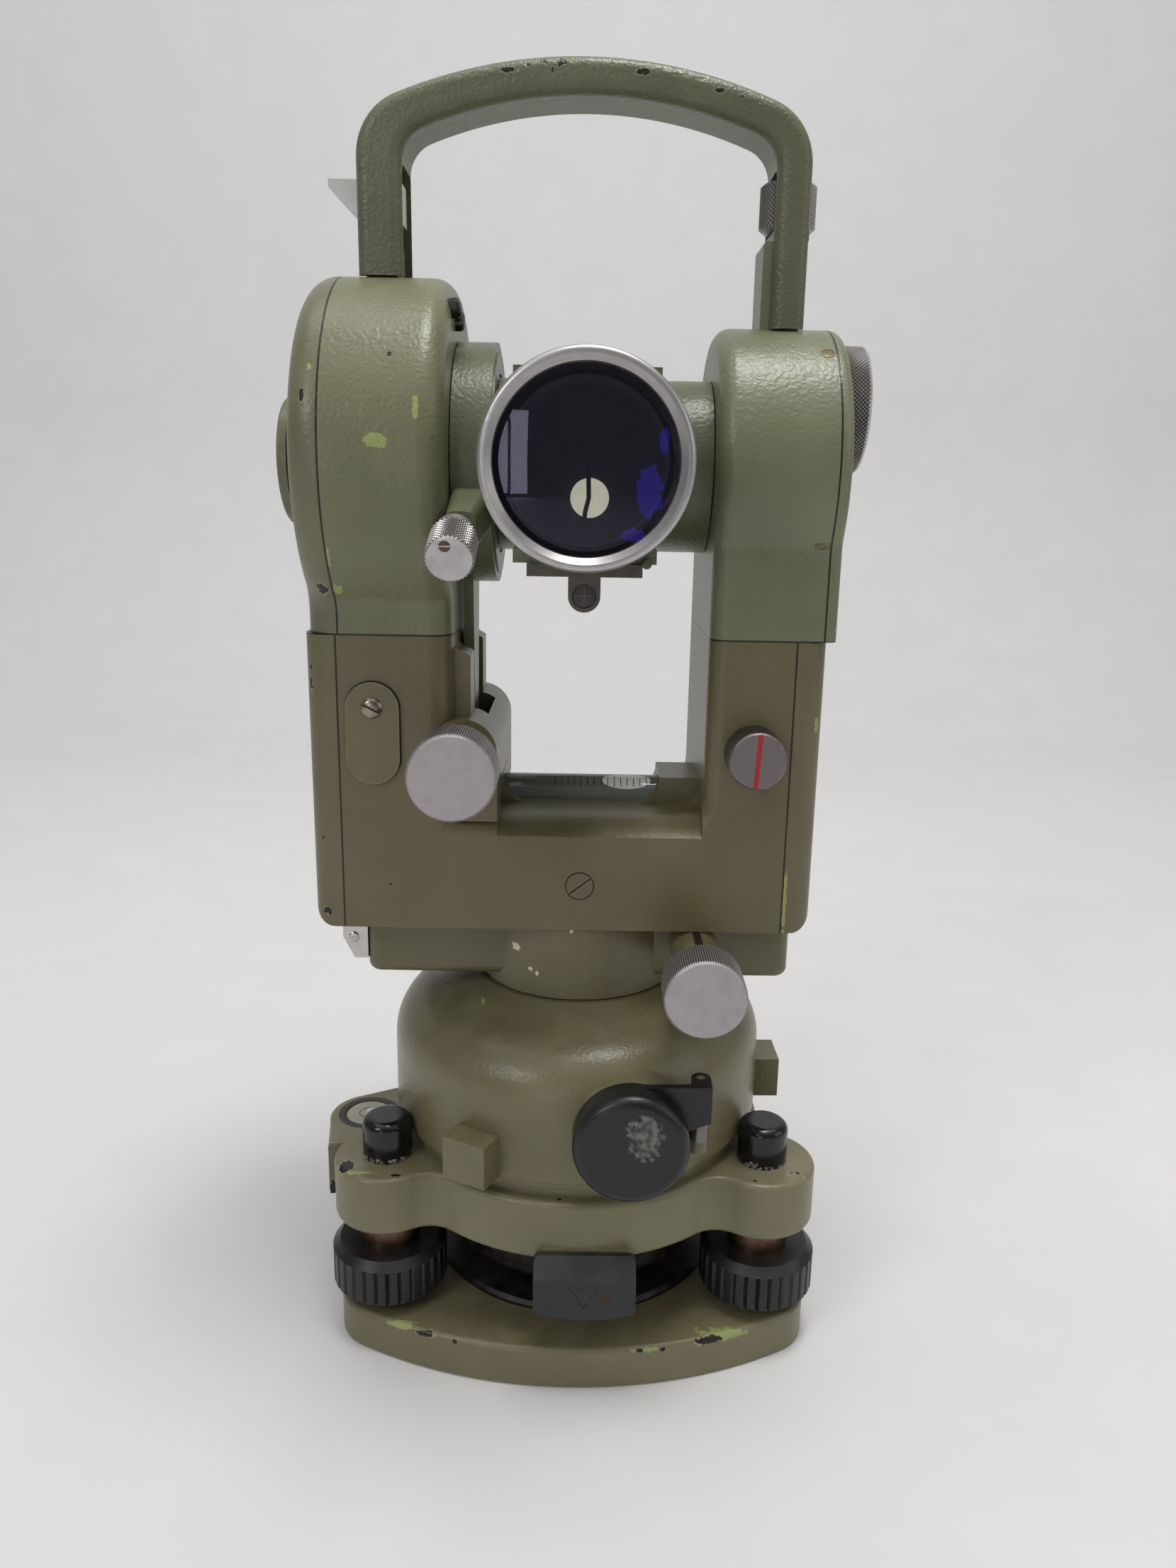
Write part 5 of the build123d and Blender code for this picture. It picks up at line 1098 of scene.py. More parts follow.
class Bench:
    """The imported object, its finishes and the surfaces that fittings sit on."""

    def __init__(self, frame: dict) -> None:
        """Keeps the frame and builds the shared effects.
        """
        self.nodes = frame["nodes"]
        self.effects = EffectShelf()
        self.surfaces: dict[str, BVHTree] = {}

    def finish(self, finish: Enamel | Metal | Plastic | Glass | Glow, *nodes: str) -> Material:
        """Builds a finish and gives it to CAD nodes.

        Args:
            finish: The finish.
            nodes: Names of the nodes that wear it.

        Returns:
            The material.
        """
        material = finish.build(self.effects)
        for name in nodes:
            data = self.nodes[name].data
            data.materials.clear()
            data.materials.append(material)
            log.info("%s wears %s", name, material.name)
        return material

    def surface(self, node: str, start: Triple, towards: Triple) -> tuple[Triple, Vector]:
        """Where a straight line first meets a node.

        Args:
            node: The node's name.
            start: Start of the line in millimetres.
            towards: Its direction.

        Returns:
            The point in millimetres and the surface's normal.
        """
        if node not in self.surfaces:
            data = self.nodes[node].data
            corners = [vert.co.copy() for vert in data.vertices]
            self.surfaces[node] = BVHTree.FromPolygons(
                corners, [tuple(face.vertices) for face in data.polygons]
            )
        point, normal, _, _ = self.surfaces[node].ray_cast(mm(*start), Vector(towards).normalized())
        if point is None:
            raise ValueError(f"no surface of {node} in front of {start}")
        return tuple(point / MM), normal


@dataclass
class TribrachDress:
    """Base plate, tribrach, footscrews, lock and circular level."""

    lens_centre: Triple = (-64.5, -10.0, 56.7)
    mark_top: float = 35.3
    mark_bottom: float = 28.9
    mark_left: float = -0.7
    mark_right: float = 6.9
    hole: tuple[float, float] = (8.9, 32.2)
    wire: float = 0.28
    ring_r: float = 2.9
    bubble_r: float = 2.2

    def dress(self, bench: Bench) -> None:
        """Finishes the nodes and adds the small things.

        Args:
            bench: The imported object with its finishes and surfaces.
        """
        base_chips = (
            Chip((-42.3, -53.0, 11.6), (4.6, 1.2, 1.1), ragged=0.35),
            Chip((-50.5, -50.0, 11.8), (8.0, 1.5, 1.0), Wear.PRIMER, 0.3),
            Chip((-33.4, -55.8, 11.4), (1.0, 0.8, 0.9), ragged=0.3),
            Chip((39.7, -54.0, 11.4), (7.0, 1.7, 1.3), ragged=0.45),
            Chip((46.0, -52.0, 11.6), (14.0, 2.2, 1.4), Wear.PRIMER, 0.45),
            Chip((25.7, -57.6, 11.2), (1.0, 0.8, 0.8), ragged=0.3),
            Chip((19.1, -58.7, 11.6), (1.3, 0.8, 0.8), ragged=0.4),
            Chip((22.5, -58.3, 11.6), (6.0, 0.8, 0.7), Wear.PRIMER, 0.6),
        )
        bench.finish(
            Enamel("enamel_base", (122, 116, 86), (111, 105, 76), base_chips, edges=0.8), "base_plate"
        )
        arm_chips = (
            Chip((-65.6, -39.5, 56.2), (2.6, 3.2, 1.6), ragged=0.3),
            Chip((-60.6, -42.9, 56.4), (4.5, 0.7, 0.6), Wear.PRIMER, 0.4),
            Chip((-50.8, -43.9, 56.5), (1.5, 0.9, 0.7), ragged=0.4),
            Chip((-72.4, -27.5, 41.3), (1.2, 3.4, 3.4), ragged=0.35),
            Chip((63.7, -40.6, 56.0), (2.6, 2.0, 0.9), ragged=0.5),
            Chip((51.4, -44.0, 56.4), (0.8, 0.7, 0.7), ragged=0.3),
            Chip((-4.0, -54.2, 56.4), (0.8, 0.8, 0.9), ragged=0.3),
        )
        bench.finish(
            Enamel(
                "enamel_tribrach", (126, 121, 92), (115, 110, 82), arm_chips, pitch=1.4, edges=0.8,
                edge_cover=0.54,
            ),
            "tribrach_body",
        )
        bench.finish(
            Metal("blackened_plate", (30, 29, 29), 0.42, 0.6, stains=0.3, edges=0.3, dust=0.12),
            "spring_plate", "under_cup",
        )
        knob = Plastic("black_ribbed_knob", (18, 18, 21), 0.36, 0.55, 0.18)
        bench.finish(knob, *(f"footscrew_knob_{name}" for name in ("front_left", "front_right", "rear")))
        caps = ((-55.0, -31.75), (55.0, -31.75), (0.0, 63.5))
        dirt = tuple(Chip((x, y, 57.1), (7.7, 7.7, 1.1), Wear.PRIMER, 1.15) for x, y in caps)
        cap = Plastic("black_glossy_cap", (12, 13, 18), 0.17, 0.1, 0.05, 0.002, dirt, (170, 166, 150))
        bench.finish(cap, "footscrew_caps")
        bench.finish(
            Metal(
                "turned_bronze", (134, 106, 90), 0.36, pitch=0.5, lines=0.05, stain_and_groove_shade=(70, 52, 44), stains=0.6
            ),
            *(f"footscrew_spindle_{name}" for name in ("front_left", "front_right", "rear")),
        )
        lock = bench.finish(Plastic("black_lock_knob", (28, 31, 32), 0.42, 0.35, 0.2), "lock_knob")
        bench.finish(
            Metal("browned_case", (72, 63, 57), 0.42, 0.7, self.lens_centre, stains=0.4),
            "circular_level_case",
        )
        bench.finish(Plastic("filled_level", (148, 146, 136), 0.06, 0.0, 0.02, 0.0), "circular_level_glass")
        self._lock_mark(lock, bench.finish(Metal("browned_pin", (74, 54, 42), 0.5, 0.6, stains=0.4)))
        self._circular_level(bench)

    def _lock_mark(self, material: Material, pin: Material) -> None:
        """The raised triangle and the sunk pin on the lock knob.

        Args:
            material: Its material.
            pin: The pin's material.
        """
        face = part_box("lock_knob")[0].y
        shaper = Shaper()
        middle = (self.mark_left + self.mark_right) / 2
        corners = [
            (self.mark_left, self.mark_top), (self.mark_right, self.mark_top), (middle, self.mark_bottom)
        ]
        for index, (x, z) in enumerate(corners):
            to_x, to_z = corners[(index + 1) % 3]
            ends = [Vector((x * MM, face, z * MM)), Vector((to_x * MM, face, to_z * MM))]
            middle_point = (ends[0] + ends[1]) / 2
            shaper.tube([ends[0], middle_point, ends[1]], self.wire * MM)
        shaper.piece("lock_mark", "lock", material)
        shaper = Shaper()
        hole = place_on((*self.hole[:1], face / MM, self.hole[1]), Axis.FRONT.value)
        shaper.turned(hole, [(-0.1, 1.5), (0.08, 1.5), (0.08, 1.25), (-0.1, 1.25)], 28, True)
        shaper.turned(hole, [(-0.1, 1.2), (0.02, 1.2), (0.03, 0.5)], 24)
        shaper.piece("lock_pin", "lock", pin)

    def _circular_level(self, bench: Bench) -> None:
        """The setting circle on the glass and the bubble under it.

        Args:
            bench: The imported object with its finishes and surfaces.
        """
        x, y, z = self.lens_centre
        ink = bench.finish(Metal("level_ink", (24, 24, 24), 0.4, 0.0))
        shaper = Shaper()
        circle = [mm(x + self.ring_r * math.cos(a), y + self.ring_r * math.sin(a), z) for a in steps(40)]
        shaper.tube(circle, 0.12 * MM, closed=True, count=6)
        shaper.piece("level_circle", "tribrach", ink)
        bubble = bench.finish(Plastic("level_bubble", (190, 190, 182), 0.03, 0.0, 0.0, 0.0))
        shaper = Shaper()
        centre = place_on((x + 1.3, y + 1.0, z), Axis.UP.value)
        profile = [(-0.1, self.bubble_r), (0.02, self.bubble_r), (0.06, 1.9), (0.08, 1.2), (0.08, 0.3)]
        shaper.turned(centre, profile, 28)
        shaper.piece("level_bubble", "tribrach", bubble)
        case = bench.finish(Metal("level_bezel", (52, 46, 42), 0.35, 0.8, self.lens_centre, stains=0.3))
        shaper = Shaper()
        profile = [(-0.6, 7.7), (0.0, 7.7), (0.0, 7.1), (-0.5, 6.4), (-0.6, 6.4)]
        shaper.turned(place_on(self.lens_centre, Axis.UP.value), profile, 48, True)
        shaper.piece("level_bezel", "tribrach", case)


@dataclass
class CircleHousingDress:
    """Domed housing of the horizontal circle with its lugs, drive seat and cover."""

    hinge: tuple[float, float] = (33.4, -54.6)
    leaf_low: float = 76.4
    leaf_high: float = 83.7
    leaf_r: float = 2.75

    def dress(self, bench: Bench) -> None:
        """Finishes the nodes and adds the hinge leaf.

        Args:
            bench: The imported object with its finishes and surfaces.
        """
        marks = (
            Chip((-27.4, -25.5, 102.1), (0.5, 1.8, 0.8), Wear.PRIMER, 0.3),
            Chip((52.6, -17.0, 74.0), (1.0, 1.0, 1.0), Wear.PRIMER, 0.4),
        )
        bench.finish(
            Enamel(
                "enamel_dome", (116, 111, 81), (105, 99, 72), marks, relief=0.1, edges=0.75, edge_cover=0.53,
                roughness=0.3,
            ),
            "circle_housing",
            "centring_flange",
            "circle_drive_seat",
        )
        worn = (Chip((18.3, -67.0, 83.6), (4.8, 3.0, 6.4), ragged=0.34),)
        bench.finish(
            Plastic("black_circle_cover", (14, 15, 18), 0.33, 0.12, 0.1, 0.004, worn), "circle_drive_cover"
        )
        inner = (
            "axis_bush", "circle_carrier", "circle_drive_knob", "axis_spindle", "bearing_race",
            "horizontal_clamp_ring",
        )
        steel = bench.finish(Metal("inner_steel", (120, 118, 116), 0.3, stains=0.3), *inner)
        bench.finish(
            Glass("ground_circle", (222, 232, 230), 0.9, 0.15), "horizontal_circle", "vertical_circle"
        )
        shaper = Shaper()
        place = place_on((*self.hinge, self.leaf_low), Axis.UP.value)
        reach = self.leaf_high - self.leaf_low
        inside = self.leaf_r - 0.1
        profile = [(0.0, inside), (0.1, self.leaf_r), (reach - 0.1, self.leaf_r), (reach, inside)]
        shaper.turned(place, profile, 36)
        shaper.piece("hinge_leaf", "tribrach", steel)


@dataclass
class KnobMaker:
    """Turned aluminium knobs with a grooved rim, each standing for its CAD node."""

    centre: Triple
    radius: float
    front: float
    rim_back: float
    ribs: int
    body: str
    node: str
    shaft_r: float
    shaft_back: float
    bevel: float = 0.7
    depth: float = 0.16

    def make(self, material: Material) -> None:
        """Builds the knob with straight ribs.

        Args:
            material: The rim's and the face's material.
        """
        place = place_on(self.centre, Axis.FRONT.value)
        shaper = Shaper()
        band = shaper.ribbed(
            place, self.radius, self.depth, self.rim_back, self.front - self.bevel, self.ribs
        )
        face = self.radius - self.bevel
        back = self.rim_back - 0.2
        above = [(self.front - 0.12, face + 0.1), (self.front, face - 0.08), (self.front, face / 2)]
        below = [(back, self.radius - 0.5), (back, self.shaft_r), (self.shaft_back, self.shaft_r)]
        shaper.finish_band(place, band, below, above)
        made = shaper.piece(f"{self.node}_turned", self.body, material)
        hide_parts(self.node)


@dataclass
class AxisDress:
    """Drive housing under the alidade and the clip at its left end."""

    clip_screw: Triple = (-65.6, -18.0, 118.6)

    def dress(self, bench: Bench) -> None:
        """Finishes the nodes and adds the clip's screw.

        Args:
            bench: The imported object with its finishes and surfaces.
        """
        specks = (
            Chip((-13.7, -26.4, 112.9), (0.9, 0.9, 0.6), Wear.PRIMER, 0.3),
            Chip((-11.6, -27.2, 112.0), (0.6, 0.6, 0.8), Wear.PRIMER, 0.3),
            Chip((-2.0, -29.6, 125.9), (0.5, 0.5, 0.9), Wear.PRIMER, 0.4),
            Chip((-17.9, -23.7, 118.4), (1.4, 1.4, 1.1), Wear.PRIMER, 0.9),
        )
        housing = Enamel(
            "enamel_drive_housing", (112, 106, 78), (102, 96, 68), specks, edges=0.5, primer=(214, 208, 172),
            seams=COLLAR_SEAMS,
        )
        bench.finish(housing, "drive_housing")
        clip = bench.finish(Metal("bright_clip", (196, 192, 190), 0.24, stains=0.15, edges=0.2), "side_clip")
        shaper = Shaper()
        place = place_on(self.clip_screw, Axis.FRONT.value, 12.0)
        shaper.slotted_head(place, [(-0.1, 1.5), (0.25, 1.5), (0.45, 1.25), (0.5, 0.9)], 0.4, 0.05)
        shaper.piece("clip_screw", "alidade", clip)


@dataclass
class AlidadeDress:
    """U-shaped frame, its covers, plate level, front plate and selector."""

    vial_centre: Triple = (0.0, 0.0, 158.4)
    vial_r: float = 5.8
    mark_angles: tuple[float, float] = (112.0, 142.0)
    long_mark_angles: tuple[float, float] = (106.0, 147.0)
    mark_range: tuple[int, int] = (-4, 11)
    mark_pitch: float = 1.9
    mark_half: float = 0.12
    gap_mark: int = 3
    gap: float = 0.3
    oval: Triple = (-56.0, -31.0, 182.2)
    oval_half: tuple[float, float] = (7.3, 6.7)
    oval_screw: Triple = (-56.0, -32.2, 189.2)
    flush_screw: Triple = (0.1, -31.0, 139.8)
    flush_turn: float = 38.0
    flush_joint_shade_r: float = 3.85
    slot_half: float = 3.4
    selector: Triple = (46.1, 0.0, 178.5)
    selector_front: float = 42.0
    line_reach: float = 7.25
    line_lean: float = 0.05
    line_half: float = 0.62

    def dress(self, bench: Bench) -> None:
        """Finishes the nodes and adds screws, level marks and the red line.

        Args:
            bench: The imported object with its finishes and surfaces.
        """
        frame_chips = (
            Chip((-52.2, -31.0, 139.5), (0.5, 0.5, 0.5), ragged=0.3),
            Chip((12.0, -31.0, 163.0), (0.5, 0.8, 0.5), Wear.PRIMER, 0.4),
        )
        frame = Enamel(
            "enamel_frame", (109, 102, 72), (100, 93, 64), frame_chips, relief=0.09, edges=0.45,
            seams=FRAME_SEAMS,
        )
        bench.finish(frame, "alidade_frame")
        cover_chips = (
            Chip((-72.6, -29.8, 199.5), (0.9, 1.4, 1.0), ragged=0.4),
            Chip((-72.8, -29.6, 195.0), (0.9, 1.4, 2.6), ragged=0.5),
            Chip((-70.1, -30.6, 131.3), (1.6, 1.2, 1.4), Wear.METAL, 0.6),
            Chip((-70.6, -30.4, 152.5), (0.4, 0.8, 0.8), ragged=0.3),
            Chip((63.2, -29.6, 186.0), (0.7, 1.2, 1.8), Wear.PRIMER, 0.6),
            Chip((57.2, -31.0, 136.0), (0.5, 0.6, 10.0), Wear.PRIMER, 0.6),
        )
        covers = Enamel(
            "enamel_side_covers", (112, 105, 77), (102, 95, 69), cover_chips, edges=0.7, edge_cover=0.5,
            seams=FRAME_SEAMS,
        )
        bench.finish(covers, "left_side_cover", "right_side_cover")
        bench.finish(
            Enamel(
                "enamel_oval_plate", (112, 106, 76), (104, 98, 70), pitch=2.4, relief=0.04, edges=0.9,
                edge_cover=0.4,
            ),
            "oval_cover",
        )
        bench.finish(
            Metal("plunger_steel", (110, 108, 106), 0.3, stains=0.4), "horizontal_plunger", "vertical_plunger"
        )
        steel = bench.finish(Metal("screw_steel", (158, 150, 138), 0.26, stains=0.5, stain_and_groove_shade=(90, 78, 62)))
        painted = bench.finish(
            Enamel("enamel_screw", (108, 101, 72), (96, 90, 64), edges=0.9, edge_cover=0.42)
        )
        flat_head = [(-0.4, 3.75), (0.15, 3.75), (0.3, 3.6), (0.3, 2.6)]
        self._screw("frame_screw", painted, self.flush_screw, flat_head, 0.5, self.flush_turn)
        round_head = [(-0.3, 2.85), (0.25, 2.85), (0.85, 2.3), (1.15, 1.5), (1.2, 0.9)]
        self._screw("oval_screw", steel, self.oval_screw, round_head, 0.55, -28.0)
        self._shaded_joints(bench)
        self._vial(bench)
        self._red_line(bench)

    @staticmethod
    def _screw(
        name: str, material: Material, centre: Triple, profile: Profile, slot: float, turn: float
    ) -> None:
        """A slotted screw in a front face.

        Args:
            name: Its name.
            material: Its material.
            centre: Its centre in millimetres.
            profile: Height and radius of its rings.
            slot: Width of its slot.
            turn: Turn of the slot in degrees.
        """
        shaper = Shaper()
        shaper.slotted_head(place_on(centre, Axis.FRONT.value, turn), profile, slot, profile[0][0] + 0.2)
        shaper.piece(name, "alidade", material)

    def _shaded_joints(self, bench: Bench) -> None:
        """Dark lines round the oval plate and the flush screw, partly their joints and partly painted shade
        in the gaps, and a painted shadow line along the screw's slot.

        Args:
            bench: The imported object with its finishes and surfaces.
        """
        # Painted shade: dark wires in the gaps round the oval plate and the flush screw
        dark = bench.finish(Metal("joint_shadow", (24, 22, 16), 0.7, 0.0, stains=0.0))
        x, y, z = self.oval
        half, straight = self.oval_half
        points = []
        for angle in steps(48):
            rise = straight if math.sin(angle) > 0 else -straight
            points.append(mm(x + half * math.cos(angle), y, z + rise + half * math.sin(angle)))
        shaper = Shaper()
        shaper.tube(points, 0.24 * MM, closed=True, count=6)
        screw_x, screw_y, screw_z = self.flush_screw
        reach = self.flush_joint_shade_r
        ring = [mm(screw_x + reach * math.cos(a), screw_y, screw_z + reach * math.sin(a)) for a in steps(40)]
        shaper.tube(ring, 0.2 * MM, closed=True, count=6)
        # Painted shadow: a dark wire along the slot, which is too shallow to show its own shade
        lean = math.radians(self.flush_turn)
        ends = []
        for along in (-self.slot_half, 0.0, self.slot_half):
            ends.append(mm(screw_x + along * math.cos(lean), screw_y - 0.1, screw_z + along * math.sin(lean)))
        shaper.tube(ends, 0.3 * MM, count=6)
        shaper.piece("joint_shade_lines", "alidade", dark)

    def _on_vial(self, along: float, angle: float, lift: float) -> Vector:
        """A point on the vial, at a distance along it and an angle up from the back.

        Args:
            along: Distance to the right of its middle.
            angle: Angle up from the back in degrees.
            lift: Height over the glass.

        Returns:
            The point in metres.
        """
        x, y, z = self.vial_centre
        reach = self.vial_r + lift
        turn = math.radians(angle)
        return mm(x + along, y + reach * math.cos(turn), z + reach * math.sin(turn))

    def _vial(self, bench: Bench) -> None:
        """The glass vial with its scale and its bubble.

        Args:
            bench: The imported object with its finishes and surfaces.
        """
        bench.finish(Glass("level_tube", (150, 158, 148), 0.55, 0.04, dust=0.1), "plate_level_vial")
        ink = bench.finish(Metal("scale_ink", (20, 20, 20), 0.4, 0.0))
        shaper = Shaper()
        for index in range(*self.mark_range):
            along = self.mark_pitch * index + (0.0 if index < self.gap_mark else self.gap)
            low, high = self.mark_angles if index % 5 else self.long_mark_angles
            half = self.mark_half
            shaper.patch(
                lambda i, j: self._on_vial(along + half * (2 * i - 1), low + (high - low) * j, 0.04), 1, 8
            )
        shaper.piece("level_scale", "alidade", ink)
        pale = bench.finish(Plastic("vial_bubble", (208, 212, 204), 0.05, 0.0, 0.0, 0.0))
        shaper = Shaper()

        def bubble(i: float, j: float) -> Vector:
            """A point of the long bubble, pointed at its two ends."""
            share = math.sin(math.pi * i) ** 0.4
            return self._on_vial(6.2 + 14.4 * i, 122.0 + 30.0 * (2 * j - 1) * share, 0.02)

        shaper.patch(bubble, 28, 12)
        shaper.piece("vial_bubble", "alidade", pale)

    def _red_line(self, bench: Bench) -> None:
        """The red groove across the selector's face.

        Args:
            bench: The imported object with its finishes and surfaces.
        """
        red = bench.finish(
            Enamel("red_fill", (176, 26, 38), (160, 22, 34), relief=0.01, edges=0.0, dust=0.02)
        )
        shaper = Shaper()
        x, _, z = self.selector
        front = -self.selector_front - 0.03

        def line(i: float, j: float) -> Vector:
            """A point of the line, which leans a little to the right at its top."""
            rise = self.line_reach * (2 * j - 1)
            return mm(x + self.line_lean * rise + self.line_half * (2 * i - 1), front, z + rise)

        shaper.patch(line, 2, 8)
        shaper.piece("selector_line", "selector", red)


@dataclass
class UpperDress:
    """Upper housings, their covers, the mirror and the micrometer drum."""

    drum_centre: Triple = (67.2, 0.0, 268.8)
    drum_r: float = 16.8
    drum_thick: float = 7.8
    drum_groove: float = 0.42
    drum_diamonds: int = 96
    drum_rows: int = 6

    def dress(self, bench: Bench) -> None:
        """Finishes the nodes and adds screws, nuts and the knurled drum.

        Args:
            bench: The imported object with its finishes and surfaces.
        """
        left = (
            Chip((-50.4, -47.4, 257.1), (2.9, 1.2, 1.9), Wear.PRIMER, 0.35),
            Chip((-41.0, -45.9, 264.8), (0.8, 1.4, 3.6), Wear.PRIMER, 0.35),
            Chip((-47.7, -40.6, 277.3), (0.7, 0.8, 1.1), ragged=0.3),
            Chip((-63.4, -34.9, 220.9), (1.2, 1.6, 3.8), Wear.PRIMER, 0.5),
            Chip((-64.2, -41.0, 228.8), (0.7, 1.6, 5.0), Wear.PRIMER, 0.5),
        )
        housing = Enamel(
            "enamel_left_housing", (121, 122, 93), (110, 110, 82), left, relief=0.16, edges=0.4,
            seams=UPPER_LEFT_SEAMS,
        )
        bench.finish(housing, "left_upper_housing")
        cover = (
            Chip((-67.4, -34.6, 220.4), (1.6, 1.6, 3.0), Wear.METAL, 0.6),
            Chip((-68.3, -44.7, 267.3), (0.7, 1.0, 2.0), ragged=0.4),
            Chip((-66.6, -42.0, 273.6), (0.6, 1.0, 1.0), Wear.PRIMER, 0.4),
        )
        lid = Enamel(
            "enamel_left_cover", (116, 115, 88), (105, 103, 78), cover, relief=0.13, edges=0.7,
            edge_cover=0.5, seams=UPPER_LEFT_SEAMS,
        )
        bench.finish(lid, "left_upper_cover")
        right = Enamel(
            "enamel_right_housing", (121, 124, 96), (110, 113, 86), relief=0.17, edges=0.5,
            seams=UPPER_RIGHT_SEAMS,
        )
        bench.finish(right, "right_upper_housing", "right_upper_cover")
        bench.finish(
            Enamel("enamel_mirror", (112, 110, 84), (100, 98, 73), edges=0.8, edge_cover=0.45), "mirror_flap",
            "mirror_ring",
        )
        self._front_screws(bench)
        self._nuts(bench)
        self._drum(bench)

    @staticmethod
    def _front_screws(bench: Bench) -> None:
        """Two small sunk screws in the right housing's front.

        Args:
            bench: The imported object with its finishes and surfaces.
        """
        steel = bench.finish(Metal("sunk_screw", (112, 98, 72), 0.4, 0.7, stains=0.7, stain_and_groove_shade=(50, 44, 34)))
        for name, x, z, turn in (("upper", 61.1, 281.2, 40.0), ("lower", 61.3, 233.4, 15.0)):
            point, normal = bench.surface("right_upper_housing", (x, -90.0, z), Axis.BACK.value)
            shaper = Shaper()
            place = place_on(point, normal, turn)
            shaper.turned(place, [(-0.3, 2.0), (0.06, 2.0), (0.06, 1.6), (-0.3, 1.5)], 32, True)
            shaper.slotted_head(place, [(-0.3, 1.55), (-0.05, 1.55), (0.05, 1.3), (0.06, 0.9)], 0.45, -0.2)
            shaper.piece(f"housing_screw_{name}", "alidade", steel)

    @staticmethod
    def _nuts(bench: Bench) -> None:
        """Two dark screws with high heads in the left housing's inner face.

        Args:
            bench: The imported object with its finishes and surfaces.
        """
        dark = bench.finish(Metal("dark_screw", (52, 50, 47), 0.3, 0.8, stains=0.4, edges=0.4))
        for name, y, z, turn in (("front", -19.5, 290.6, 70.0), ("rear", -11.5, 288.6, 20.0)):
            point, normal = bench.surface("left_upper_housing", (-20.0, y, z), Axis.LEFT.value)
            shaper = Shaper()
            profile = [(-0.3, 2.5), (1.5, 2.5), (2.1, 2.1), (2.4, 1.4), (2.4, 0.8)]
            shaper.slotted_head(place_on(point, normal, turn), profile, 0.7, 1.5)
            shaper.piece(f"inner_screw_{name}", "alidade", dark)

    def _drum(self, bench: Bench) -> None:
        """The knurled drum, which stands for its CAD node.

        Args:
            bench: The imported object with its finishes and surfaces.
        """
        silver = bench.finish(
            Metal(
                "knurled_aluminium", (196, 192, 189), 0.38, 0.6, centre=self.drum_centre,
                along=Axis.RIGHT.value, groove=True,
            )
        )
        place = place_on(self.drum_centre, Axis.RIGHT.value)
        shaper = Shaper()
        band = shaper.knurled(
            place, self.drum_r, self.drum_groove, 0.15, self.drum_thick - 1.0, self.drum_diamonds,
            self.drum_rows,
        )
        above = [
            (self.drum_thick - 0.25, self.drum_r - 0.5), (self.drum_thick, self.drum_r - 1.2),
            (self.drum_thick, 6.0),
        ]
        below = [(0.0, self.drum_r - 0.6), (0.0, 4.0), (-14.0, 4.0)]
        shaper.finish_band(place, band, below, above)
        made = shaper.piece("micrometer_drum_knurled", "micrometer", silver)
        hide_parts("micrometer_drum")


@dataclass
class VerticalMotionDress:
    """Clamp ring with its arm, and the knurled clamp knob."""

    tilt_z: float = 252.7
    angle: float = 21.5
    knob_x: float = -32.0
    collar_start: float = 46.7
    collar_end: float = 50.5
    reach: float = 62.3
    knob_r: float = 6.1
    shaft_start: float = 36.0
    groove: float = 0.42
    diamonds: int = 34
    rows: int = 8

    def dress(self, bench: Bench) -> None:
        """Finishes the arm and builds the knob that stands for its CAD node.

        Args:
            bench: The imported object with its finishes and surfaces.
        """
        bench.finish(
            Enamel("enamel_clamp", (106, 113, 85), (94, 101, 74), relief=0.14, edges=0.5),
            "vertical_clamp_arm",
        )
        turn = math.radians(self.angle)
        out = Vector((0.0, -math.cos(turn), -math.sin(turn)))
        origin = (self.knob_x, 0.0, self.tilt_z)
        silver = bench.finish(
            Metal(
                "clamp_knob_aluminium", (190, 186, 186), 0.38, 0.7, centre=origin, along=tuple(out),
                groove=True,
            )
        )
        place = place_on(origin, out)
        shaper = Shaper()
        rim_low = self.collar_end + 0.6
        band = shaper.knurled(
            place, self.knob_r, self.groove, rim_low, self.reach - 0.6, self.diamonds, self.rows
        )
        face = self.knob_r - 0.55
        above = [(self.reach - 0.1, face), (self.reach, face - 0.1), (self.reach, face / 2)]
        below = [
            (self.collar_end, 5.3), (self.collar_start, 5.1), (self.collar_start, 2.0),
            (self.shaft_start, 2.0),
        ]
        shaper.finish_band(place, band, below, above)
        made = shaper.piece("vertical_clamp_knob_knurled", "vertical_clamp", silver)
        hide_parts("vertical_clamp_knob")
        dark = bench.finish(Metal("knob_hole_screw", (92, 76, 66), 0.4, 0.8, stains=0.5))
        hole = place @ Vector((-0.9, 3.4, self.reach))
        shaper = Shaper()
        seat = Matrix.Translation(hole) @ place.to_3x3().to_4x4()
        shaper.slotted_head(seat, [(-0.2, 1.45), (0.02, 1.45), (0.05, 1.3), (0.05, 0.8)], 0.4, -0.12)
        shaper.piece("knob_hole_screw", "vertical_clamp", dark)


